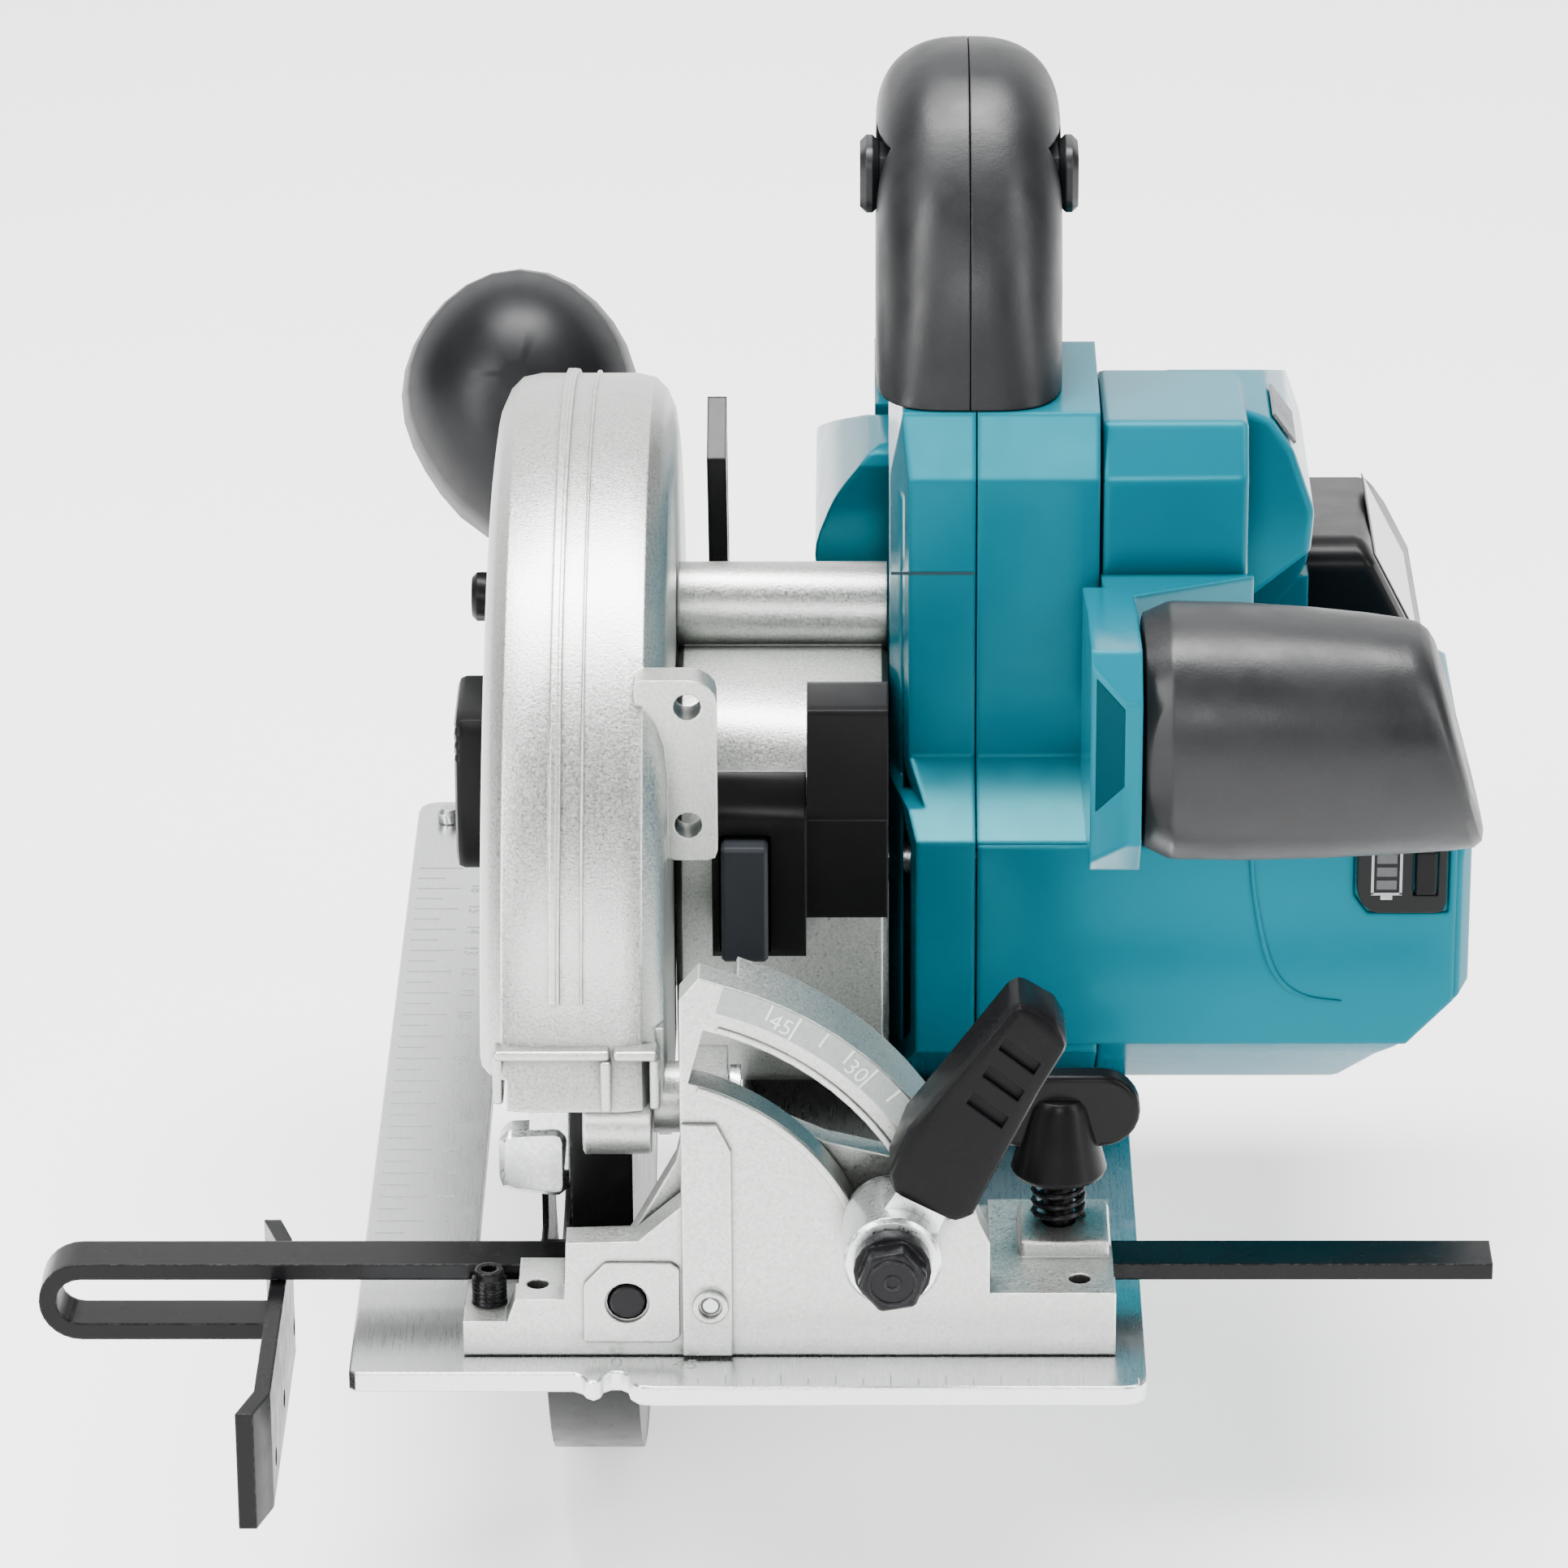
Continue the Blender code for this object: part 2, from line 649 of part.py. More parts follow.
# ---------------------------------------------------------------- head, metal


def case_edge(radius, left, right, edge):
    """The rounded outer part of the case's (radius, X) profile, from the left wall to the right."""
    reach = 1.5 * edge
    side = []
    for angle in (0.0, 22.5, 45.0, 67.5):
        turn = math.radians(angle)
        side.append((radius - reach * (1 - math.sin(turn)), edge * (1 - math.cos(turn))))
    side.append((radius, edge + 1.0))
    profile = [(r, left + x) for r, x in side]
    return profile + [(r, right - x) for r, x in reversed(side)]


def blade_case():
    outer = case_edge(CASE_RADIUS, CASE_LEFT, CASE_RIGHT, 7.0)
    inner = case_edge(CASE_RADIUS - 3.0, CASE_LEFT + 2.4, CASE_RIGHT - 2.4, 6.0)
    profile = [(24.6, CASE_LEFT)] + outer + [(24.6, CASE_RIGHT), (24.6, CASE_RIGHT - 2.4)]
    profile += list(reversed(inner)) + [(24.6, CASE_LEFT + 2.4)]
    case = lathe("X", BLADE_Y, BLADE_Z, profile, 60)
    keep = [
        (-120.0, 46.3),
        (-80.0, 46.3),
        (-62.0, 21.2),
        (70.0, 21.2),
        (104.3, 31.0),
        (140.0, 31.0),
        (140.0, 150.0),
        (-120.0, 150.0),
    ]
    clip(case, prism("X", keep, -60.0, -5.0))
    carve(case, box(-60.0, -44.0, -104.0, 120.0, 0.0, 52.0))
    hinge = cylinder("X", DEPTH_Y, DEPTH_Z, 6.6, -17.4, -10.8, 24)
    web = prism("X", [(-97.9, 44.0), (-85.8, 44.0), (-84.3, 60.0), (-96.5, 60.0)], -17.2, -15.4)
    outline = [
        (-21.0, 116.0),
        (-21.0, 113.0),
        (-17.0, 92.0),
        (-15.6, 80.0),
        (-5.8, 80.0),
        (-5.8, 113.5),
        (-9.0, 116.0),
    ]
    ear = prism("Y", rounded(outline, 2.0, 2), -66.4, -60.0)
    boss = cylinder("X", 65.6, 16.2, 6.0, -16.8, -9.9, 18)
    strut = prism("X", [(60.4, 12.6), (70.8, 12.6), (72.0, 30.0), (58.0, 30.0)], -17.2, -15.3)
    bead = sector(BLADE_Y, BLADE_Z, 112.0, 113.8, 25.0, 160.0, 45)
    fuse(case, hinge, web, ear, boss, strut, prism("X", bead, -36.2, -34.8))
    port = [(radial_point(-33.0, distance), 12.3) for distance in (99.0, 112.0, 130.0)]
    carve(
        case,
        loft(tube_rings(port, 0.0)),
        cylinder("X", DEPTH_Y, DEPTH_Z, 4.2, -30.0, 0.0, 16),
        cylinder("X", 65.6, 16.2, 2.9, -22.0, 0.0, 14),
        cylinder("Y", -11.2, 87.1, 2.6, -80.0, -40.0, 14),
        cylinder("Y", -11.2, 110.8, 2.6, -80.0, -40.0, 14),
    )
    node("blade_case", case, "cast", (0.0, DEPTH_Y, DEPTH_Z))


def gear_housing():
    outline = [
        (-26.0, 30.0),
        (-20.0, 12.0),
        (-6.0, 5.2),
        (22.0, 5.2),
        (38.0, 14.0),
        (46.0, 34.0),
        (46.0, 70.0),
        (38.0, 86.0),
        (10.0, 90.0),
        (-14.0, 84.0),
        (-26.0, 62.0),
    ]
    body = prism("X", rounded(outline, 8.0, 2), -14.7, 25.9)
    soften(body, 1.2, 1, 60.0)
    tube = cylinder("X", 22.0, 93.4, 9.2, -14.6, 25.8, 26)
    fuse(body, tube)
    inside = [
        (-22.0, 31.0),
        (-17.0, 15.0),
        (-5.0, 9.2),
        (21.0, 9.2),
        (35.0, 17.0),
        (42.0, 35.0),
        (42.0, 68.0),
        (36.0, 82.0),
        (10.0, 86.0),
        (-12.0, 80.0),
        (-22.0, 61.0),
    ]
    carve(
        body,
        prism("X", rounded(inside, 6.0, 1), -10.4, 30.0),
        cylinder("X", BLADE_Y, BLADE_Z, 9.6, -20.0, 0.0, 24),
    )
    node("gear_housing", body, "cast", (0.0, DEPTH_Y, DEPTH_Z))


def front_covers():
    depth_axis = (0.0, DEPTH_Y, DEPTH_Z)
    outline = [(-50.0, 79.8), (-27.0, 79.8), (-27.0, 96.0), (-36.0, 103.2), (-50.0, 103.2)]
    lamp = prism("X", rounded(outline, 2.0, 2), 10.6, 25.8)
    carve(lamp, cylinder("Z", 18.2, -43.0, 3.6, 70.0, 84.0, 16))
    node("lamp_block", lamp, "black", depth_axis)
    lens = lathe("Z", 18.2, -43.0, [(0.0, 80.6), (3.3, 80.6), (3.3, 83.7), (0.0, 83.7)], 16)
    node("lamp_lens", lens, "label", depth_axis)
    outline = [(-42.0, 48.0), (-27.0, 48.0), (-27.0, 79.0), (-38.0, 86.0), (-44.0, 79.0)]
    cover = prism("X", rounded(outline, 2.5, 2), -7.4, 10.3)
    fuse(cover, box(-5.2, 25.7, -40.0, -27.2, 56.0, 79.4))
    carve(cover, box(-6.0, 3.6, -60.0, -36.4, 49.8, 74.6))
    node("lamp_cover", cover, "black", depth_axis)
    button = box(-5.6, 3.2, -48.4, -40.4, 50.4, 74.0)
    soften(button, 0.7, 1)
    node("shaft_lock", button, "grey", (-1.0, -42.0, 62.0))


def depth_lock():
    profile = [(0.0, -20.8), (4.6, -20.8), (4.6, -18.8), (2.6, -18.8), (2.6, 3.0), (0.0, 3.0)]
    node("depth_stud", lathe("X", 65.6, 16.2, profile, 16), "steel", (0.0, DEPTH_Y, DEPTH_Z))
    hub = lathe("X", 65.6, 16.2, [(2.9, -5.2), (7.6, -5.2), (7.6, 5.6), (2.9, 5.6)], 20)
    arm = [(69.0, 12.4), (104.0, 22.5), (112.0, 28.0), (109.0, 33.0), (99.0, 30.5), (68.0, 21.0)]
    arm = prism("X", rounded(arm, 2.0, 1), -3.6, 3.8)
    carve(arm, cylinder("X", 65.6, 16.2, 5.0, -10.0, 10.0, 16))
    fuse(hub, arm)
    node("depth_lever", hub, "black", (0.0, 65.6, 16.2))


def tube_rings(stations, shrink):
    """Rings of a bent tube; a station is a centre and a radius."""
    rings = []
    for index, (centre, radius) in enumerate(stations):
        before = Vector(stations[max(index - 1, 0)][0])
        after = Vector(stations[min(index + 1, len(stations) - 1)][0])
        along = (after - before).normalized()
        across = along.cross(Vector((0.0, 0.0, 1.0))).normalized()
        upward = across.cross(along)
        ring = []
        for u, v in circle(0.0, 0.0, radius - shrink, 20):
            ring.append(Vector(centre) + across * u + upward * v)
        rings.append(ring)
    return rings


def radial_point(x, distance):
    """A point behind the blade on the line that the chips leave along."""
    return (x, BLADE_Y + 0.83 * distance, BLADE_Z + 0.558 * distance)


def nozzle_reach(turn):
    """Radius of the bulb's egg-shaped section; the tip points down along the case."""
    tip = max(0.0, math.cos(turn - math.radians(285.0)))
    crown = max(0.0, math.sin(turn))
    return 24.2 + 2.2 * crown**4 + 8.0 * tip**3


def nozzle_bulb(wall, length):
    """The bulb and its outlet as one lofted shape; wall is taken off the outside."""
    centre = (-48.8, 109.0, 104.0)
    stations = [
        (0.14, -24.6 + wall, 1.0),
        (0.42, -23.2 + wall, 1.0),
        (0.71, -18.0 + 0.7 * wall, 1.0),
        (0.92, -10.0 + 0.3 * wall, 1.0),
        (1.00, 0.0, 1.0),
        (0.97, 12.0, 0.8),
        (0.87, 26.0, 0.4),
        (0.78, 40.0, 0.0),
        (0.76, length, 0.0),
    ]
    rings = []
    for scale, along, egg in stations:
        ring = []
        for step in range(28):
            turn = 2 * math.pi * step / 28
            reach = scale * (egg * nozzle_reach(turn) + (1 - egg) * 25.0) - wall
            x = centre[0] + reach * math.cos(turn)
            ring.append((x, centre[1] + along, centre[2] + reach * math.sin(turn)))
        rings.append(ring)
    return turned(loft(rings), "X", centre, -30.0)


def dust_nozzle():
    """A bulb that hugs the case and turns the chips back, on a spigot through the case."""
    spigot = [(radial_point(-33.0, distance), 11.8) for distance in (101.0, 112.0, 124.0)]
    bore = [(radial_point(-33.2, distance), 9.3) for distance in (95.3, 108.1, 119.4)]
    body = nozzle_bulb(0.0, 58.0)
    carve(body, cylinder("X", BLADE_Y, BLADE_Z, CASE_RADIUS + 1.2, CASE_LEFT - 0.5, -14.5, 60))
    fuse(body, loft(tube_rings(spigot, 0.0)))
    inside = nozzle_bulb(2.2, 64.0)
    carve(inside, cylinder("X", BLADE_Y, BLADE_Z, CASE_RADIUS + 3.4, CASE_LEFT - 2.7, -12.0, 60))
    carve(body, inside, loft(tube_rings(bore, 0.0)))
    node("dust_nozzle", body, "black", (0.0, DEPTH_Y, DEPTH_Z))


def case_fittings():
    depth_axis = (0.0, DEPTH_Y, DEPTH_Z)
    profile = [
        (0.0, -57.4),
        (4.0, -57.4),
        (5.0, -56.4),
        (5.0, -52.8),
        (3.0, -52.0),
        (3.0, -49.5),
        (0.0, -49.5),
    ]
    node("nozzle_screw", lathe("X", 70.0, 76.0, profile, 18), "black", depth_axis)
    outline = [(-4.0, 48.6), (20.0, 48.6), (22.0, 60.0), (20.0, 81.6), (-4.0, 81.6), (-6.0, 60.0)]
    body = prism("X", rounded(outline, 4.0, 2), -57.6, -49.5)
    soften(body, 1.6, 2, 60.0)
    for height in (72.6, 75.2, 77.8):
        carve(body, box(-66.0, -56.7, -10.0, 30.0, height, height + 1.3))
    node("side_bumper", body, "rubber", depth_axis)


# ---------------------------------------------------------------- head, housing


def grip_housings():
    """The two shells below the hand grip; the outlines are seen from the side, as (Y, Z)."""
    depth_axis = (0.0, DEPTH_Y, DEPTH_Z)
    outline = [
        (-28.0, 22.0),
        (-28.0, 66.0),
        (-10.0, 76.0),
        (-10.0, 132.8),
        (-5.0, 144.6),
        (33.0, 144.6),
        (44.0, 128.0),
        (60.4, 113.0),
        (60.4, 30.0),
        (44.0, 10.0),
        (30.0, 5.3),
        (-6.0, 5.3),
    ]
    left = prism("X", outline, HOUSING_LEFT, SEAM_X - 0.15)
    cut_edge = [(20.0, -50.0), (36.0, -50.0), (26.0, -4.0), (20.0, -4.0)]
    carve(left, prism("Z", cut_edge, 0.0, 75.0))
    upper = [(20.0, -30.0), (35.5, -30.0), (26.0, 4.0), (20.0, 4.0)]
    carve(left, prism("Z", upper, 70.0, 150.0))
    slope = [(20.0, 128.0), (26.0, 128.0), (29.5, 150.0), (20.0, 150.0)]
    carve(left, prism("Y", slope, -40.0, 60.0))
    right = prism("X", outline, SEAM_X + 0.15, HOUSING_RIGHT)
    inside = [
        (-23.0, 24.0),
        (-23.0, 63.0),
        (-6.0, 73.0),
        (-6.0, 128.0),
        (28.0, 128.0),
        (44.0, 110.0),
        (56.0, 105.0),
        (56.0, 32.0),
        (42.0, 13.0),
        (28.0, 8.6),
        (-4.0, 8.6),
    ]
    carve(left, prism("X", inside, HOUSING_LEFT + 2.6, 60.0))
    carve(left, cylinder("X", MOTOR_Y, MOTOR_Z, 12.0, 20.0, 40.0, 24))
    carve(left, cylinder("X", BLADE_Y, BLADE_Z, 9.0, 20.0, 40.0, 20))
    carve(right, prism("X", inside, 30.0, HOUSING_RIGHT + 5.0))
    node("housing_left", left, "teal", depth_axis)
    node("housing_right", right, "teal", depth_axis)


def motor_housing():
    outline = [
        (-28.0, 24.0),
        (-28.0, 66.0),
        (-14.0, 82.0),
        (4.0, 86.0),
        (40.0, 84.0),
        (56.0, 66.0),
        (56.0, 30.0),
        (42.0, 11.0),
        (28.0, 5.3),
        (-6.0, 5.3),
    ]
    body = prism("X", rounded(outline, 4.0, 2), HOUSING_RIGHT + 0.3, MOTOR_RIGHT)
    low = [(100.0, -8.0), (150.0, -8.0), (150.0, 56.0), (137.0, 36.0), (120.0, 18.0), (112.0, 5.0)]
    front = [(134.0, -40.0), (150.0, -40.0), (150.0, -6.0), (134.6, -28.5)]
    high = [(112.0, 95.0), (150.0, 95.0), (150.0, 60.0), (134.0, 74.0)]
    carve(
        body,
        prism("Y", low, -50.0, 80.0),
        prism("Z", front, -5.0, 100.0),
        prism("Y", high, -50.0, 80.0),
    )
    soften(body, 2.2, 2, 25.0)
    inside = [
        (-23.5, 26.0),
        (-23.5, 64.0),
        (-12.0, 78.0),
        (5.0, 82.0),
        (38.0, 80.0),
        (52.0, 64.0),
        (52.0, 32.0),
        (40.0, 14.0),
        (27.0, 9.6),
        (-4.0, 9.6),
    ]
    carve(body, prism("X", inside, 60.0, 126.0))
    for index in range(5):
        place = 30.0 + index * 7.0
        carve(body, box(100.0, 122.0, 50.0, 62.0, place, place + 3.0))
    node("motor_housing", body, "teal", (0.0, DEPTH_Y, DEPTH_Z))


def shoulder_outline(grow):
    """The rear part of the control housing seen from the front, as (X, Z)."""
    return [
        (84.0, 141.6 + grow),
        (91.0, 140.8 + grow),
        (98.8 + 0.5 * grow, 138.0 + 0.8 * grow),
        (103.4 + 0.9 * grow, 131.4 + 0.4 * grow),
        (107.6 + grow, 119.0 + 0.3 * grow),
    ]


def control_housing():
    side = [
        (-9.8, 90.0),
        (-9.8, 132.6),
        (-4.0, 142.4),
        (30.0, 139.8),
        (60.2, 128.0),
        (60.2, 90.0),
    ]
    body = prism("X", side, 66.3, 94.0)
    soften(body, 1.2, 2, 30.0)
    outline = [(80.0, 101.4), (80.0, 141.6)] + shoulder_outline(0.0)[1:]
    outline += [(107.0, 110.6), (96.0, 101.4)]
    shoulder = prism("Y", outline, 8.0, 60.2)
    soften(shoulder, 1.2, 2, 12.0)
    roof = [(0.0, 139.9), (30.0, 139.9), (60.6, 128.0), (60.6, 90.0), (0.0, 90.0)]
    clip(shoulder, prism("X", roof, 70.0, 120.0))
    fuse(body, shoulder)
    carve(body, box(69.0, 91.4, -6.0, 56.0, 80.0, 120.0))
    node("control_housing", body, "teal", (0.0, DEPTH_Y, DEPTH_Z))


def rating_plate():
    """A film that wraps round the shoulder of the control housing."""
    high, low = (Vector(corner) for corner in shoulder_outline(0.3)[2:4])
    start, end = high.lerp(low, 0.06), high.lerp(low, 0.94)
    lift = Vector((0.55, 0.35))
    cover = prism("Y", [start, end, end + lift, start + lift], 11.0, 27.0)
    node("rating_plate", cover, "grey", (0.0, DEPTH_Y, DEPTH_Z))


def battery_housing():
    """The rear lobes over the battery, its mounting plate and the root of the hand grip."""
    ends = [
        (12.6, 82.0),
        (11.2, 90.0),
        (15.4, 101.0),
        (23.0, 111.0),
        (99.0, 111.6),
        (104.6, 108.0),
        (110.4, 94.0),
        (109.6, 86.0),
        (101.0, 74.6),
        (24.0, 74.6),
        (16.0, 76.5),
    ]
    body = prism("Y", rounded(ends, 3.6, 3), 60.9, 132.0)
    side = [
        (60.0, 60.0),
        (60.0, 108.0),
        (66.0, 111.6),
        (82.0, 110.6),
        (126.0, 90.5),
        (131.0, 82.0),
        (131.0, 60.0),
    ]
    clip(body, prism("X", rounded(side, 3.0, 2), 0.0, 130.0))
    pylon = prism("X", [(91.2, 84.0), (91.2, 109.2), (128.8, 109.2), (128.8, 84.0)], 23.6, 60.4)
    plate = box(18.0, 110.0, 61.0, 67.2, 24.0, 84.0)
    fuse(body, pylon, plate)
    carve(body, prism("X", battery_profile(0.6), 16.2, 140.0))
    node("battery_housing", body, "teal", (0.0, DEPTH_Y, DEPTH_Z))


def handle_path():
    """Centres of the hand grip from its front root to its rear root, as (Y, Z, half depth)."""
    return [
        (14.5, 145.2, 19.0),
        (14.5, 153.0, 18.2),
        (16.5, 163.0, 17.2),
        (22.5, 174.0, 16.6),
        (32.5, 182.5, 16.2),
        (44.0, 185.0, 16.0),
        (57.0, 181.5, 16.0),
        (71.0, 174.5, 16.0),
        (84.0, 165.0, 16.0),
        (95.0, 152.5, 16.4),
        (103.0, 138.0, 17.0),
        (108.0, 123.0, 18.0),
        (110.0, 109.6, 19.0),
    ]


def handle_ring(y, z, along, half_depth, half_width):
    """A rounded section square to the path: rounder on the outside of the bend."""
    ring = []
    outward = Vector((0.0, -along.z, along.y))
    shape = [
        (-1.00, 0.12),
        (-0.95, 0.46),
        (-0.80, 0.72),
        (-0.50, 0.92),
        (0.0, 1.0),
        (0.50, 0.92),
        (0.80, 0.72),
        (0.95, 0.46),
        (1.00, 0.12),
        (0.99, -0.40),
        (0.90, -0.76),
        (0.66, -0.95),
        (0.0, -1.0),
        (-0.66, -0.95),
        (-0.90, -0.76),
        (-0.99, -0.40),
    ]
    for across, out in shape:
        centre = Vector((GRIP_X + across * half_width, y, z))
        ring.append(centre + outward * out * half_depth)
    return ring


def handle_body():
    path = handle_path()
    rings = []
    for index in range(len(path)):
        y, z, depth = path[index]
        before = Vector((0.0,) + path[max(index - 1, 0)][:2])
        after = Vector((0.0,) + path[min(index + 1, len(path) - 1)][:2])
        along = (after - before).normalized()
        if index == 0:
            along = Vector((0.0, 0.0, 1.0))
        if index == len(path) - 1:
            along = Vector((0.0, 0.0, -1.0))
        rings.append(handle_ring(y, z, along, depth, GRIP_HALF_WIDTH))
    return loft(rings)


def hand_grip():
    depth_axis = (0.0, DEPTH_Y, DEPTH_Z)
    halves = (("handle_left", 10.0, GRIP_X - 0.12), ("handle_right", GRIP_X + 0.12, 80.0))
    for name, low, high in halves:
        body = handle_body()
        clip(body, box(low, high, -20.0, 200.0, 100.0, 230.0))
        carve(
            body,
            box(10.0, 80.0, 24.6, 35.4, 174.6, 185.4),
            box(10.0, GRIP_X - 14.6, 22.0, 38.0, 172.2, 187.8),
            box(GRIP_X + 14.6, 74.0, 22.0, 38.0, 172.2, 187.8),
            box(GRIP_X - 7.8, GRIP_X + 7.8, 38.6, 73.0, 150.0, 181.0),
        )
        node(name, body, "rubber", depth_axis)


def lock_off_button():
    bar = box(GRIP_X - 20.0, GRIP_X + 20.0, 25.2, 34.8, 175.2, 184.8)
    for x0, x1 in ((GRIP_X - 20.8, GRIP_X - 17.2), (GRIP_X + 17.2, GRIP_X + 20.8)):
        outline = [(23.0, 173.2), (37.0, 173.2), (37.0, 186.8), (23.0, 186.8)]
        pad = prism("X", rounded(outline, 4.0, 2), x0, x1)
        soften(pad, 1.2, 1, 50.0)
        fuse(bar, pad)
    node("lock_off_button", bar, "rubber", (GRIP_X, 30.0, 180.0))


def trigger():
    outline = [
        (40.0, 173.6),
        (70.0, 171.4),
        (71.0, 166.0),
        (64.0, 155.5),
        (54.0, 152.0),
        (46.0, 155.0),
        (40.5, 164.0),
    ]
    body = prism("X", rounded(outline, 3.0, 2), GRIP_X - 7.1, GRIP_X + 7.1)
    soften(body, 1.0, 1, 60.0)
    node("trigger", body, "black", (GRIP_X, 68.0, 170.5))


def front_grip():
    depth_axis = (0.0, DEPTH_Y, DEPTH_Z)
    rings = []
    sections = [
        (71.8, 21.6, 20.0, 0.0),
        (75.0, 23.4, 22.2, 0.0),
        (98.0, 22.8, 21.6, 0.6),
        (118.0, 21.4, 19.4, 2.6),
        (127.2, 19.6, 16.8, 4.6),
        (129.6, 16.0, 12.6, 5.2),
    ]
    for x, tall, deep, slide in sections:
        ring = []
        for y, z in circle(0.0, 0.0, 1.0, 20):
            height = 107.9 - (x - 72.0) * 0.02 + tall * z
            ring.append((x - slide * z, -70.0 + deep * y, height))
        rings.append(ring)
    grip = loft(rings)
    node("front_grip", grip, "rubber", depth_axis)
    outline = [
        (-91.0, 94.0),
        (-84.0, 86.0),
        (-60.0, 83.0),
        (-28.4, 79.0),
        (-15.0, 86.0),
        (-10.4, 90.0),
        (-10.4, 114.0),
        (-60.0, 127.0),
        (-84.0, 129.5),
        (-91.0, 122.0),
    ]
    arm = prism("X", outline, 62.2, 95.0)
    plan = [
        (62.2, -86.0),
        (69.0, -91.4),
        (71.4, -91.4),
        (71.4, -40.0),
        (95.0, -14.0),
        (95.0, -10.2),
        (62.2, -10.2),
    ]
    clip(arm, prism("Z", plan, 60.0, 140.0))
    carve(arm, box(50.0, 66.2, -28.4, 10.0, 60.0, 140.0))
    soften(arm, 1.4, 2, 25.0)
    node("grip_arm", arm, "teal", depth_axis)


def gauge():
    depth_axis = (0.0, DEPTH_Y, DEPTH_Z)
    outline = [(117.4, 52.0), (132.0, 52.0), (132.0, 69.2), (115.0, 69.2), (115.0, 55.6)]
    plate = prism("Y", rounded(outline, 2.0, 2), -29.6, -28.2)
    carve(plate, box(125.6, 130.4, -35.0, -20.0, 55.6, 65.4))
    node("gauge_panel", plate, "grey", depth_axis)
    button = box(126.0, 130.0, -30.4, -29.1, 56.0, 65.0)
    soften(button, 0.3, 1)
    node("gauge_button", button, "black", (128.0, -29.6, 60.5))


def battery_profile(grow):
    """The battery seen from the side, as (Y, Z)."""
    return [
        (68.4 - grow, 20.0),
        (73.0, 14.6 - grow),
        (128.0, 14.6 - grow),
        (134.0 + grow, 20.0),
        (134.0 + grow, 72.0),
        (128.0, 79.0 + grow),
        (74.0, 87.0 + grow),
        (68.4 - grow, 84.0),
    ]


def battery():
    body = prism("X", battery_profile(0.0), 17.0, 135.0)
    corner = [(118.4, 96.0), (121.4, 88.0), (135.6, 60.0), (150.0, 60.0), (150.0, 96.0)]
    carve(body, prism("Y", corner, 50.0, 150.0))
    soften(body, 2.4, 2, 30.0)
    carve(body, box(126.6, 142.0, 84.0, 118.0, 37.4, 50.6))
    node("battery", body, "black", (78.0, 100.0, 50.0))
    button = box(130.0, 134.6, 84.4, 117.6, 37.9, 50.1)
    soften(button, 0.8, 1)
    node("battery_release", button, "red", (132.0, 101.0, 44.0))


# ---------------------------------------------------------------- motor


def motor():
    axis = (80.0, MOTOR_Y, MOTOR_Z)
    profile = [
        (0.0, 2.0),
        (3.5, 2.0),
        (3.5, 12.0),
        (5.0, 14.0),
        (5.0, 70.0),
        (16.0, 70.0),
        (16.0, 104.0),
        (5.0, 104.0),
        (5.0, 118.0),
        (0.0, 118.0),
    ]
    node("rotor", lathe("X", MOTOR_Y, MOTOR_Z, profile, 20), "steel", axis)
    fan = cylinder("X", MOTOR_Y, MOTOR_Z, 27.0, 50.0, 52.0, 24)
    for index in range(8):
        blade = box(51.0, 62.0, MOTOR_Y + 9.0, MOTOR_Y + 26.0, MOTOR_Z - 0.8, MOTOR_Z + 0.8)
        fuse(fan, turned(blade, "X", (0.0, MOTOR_Y, MOTOR_Z), index * 45.0 + 11.0))
    carve(fan, cylinder("X", MOTOR_Y, MOTOR_Z, 5.2, 40.0, 70.0, 18))
    node("fan", fan, "black", axis)
    profile = [(16.8, 72.0), (28.0, 72.0), (28.0, 102.0), (16.8, 102.0)]
    node("stator", lathe("X", MOTOR_Y, MOTOR_Z, profile, 24), "copper", (0.0, DEPTH_Y, DEPTH_Z))


def main():
    clear_scene()
    base_plate()
    quadrant_bracket()
    rear_bracket()
    pivot_pins()
    small_base_parts()
    clamp_spring()
    rip_fence()
    wing_screw()
    angular_plate()
    bevel_bolt()
    bevel_lever()
    depth_guide()
    depth_shaft()
    blade_group()
    lower_guard()
    guard_lever()
    blade_case()
    gear_housing()
    front_covers()
    depth_lock()
    dust_nozzle()
    case_fittings()
    grip_housings()
    motor_housing()
    control_housing()
    rating_plate()
    battery_housing()
    hand_grip()
    lock_off_button()
    trigger()
    front_grip()
    gauge()
    battery()
    motor()


main()
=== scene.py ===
"""Looks of the cordless circular saw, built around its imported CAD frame.

Every length is in metres in the CAD's own frame: +Z up, the saw cuts toward -Y, and
the origin is on the underside of the base plate.
"""

import math

import bmesh
import bpy
from mathutils import Matrix, Vector


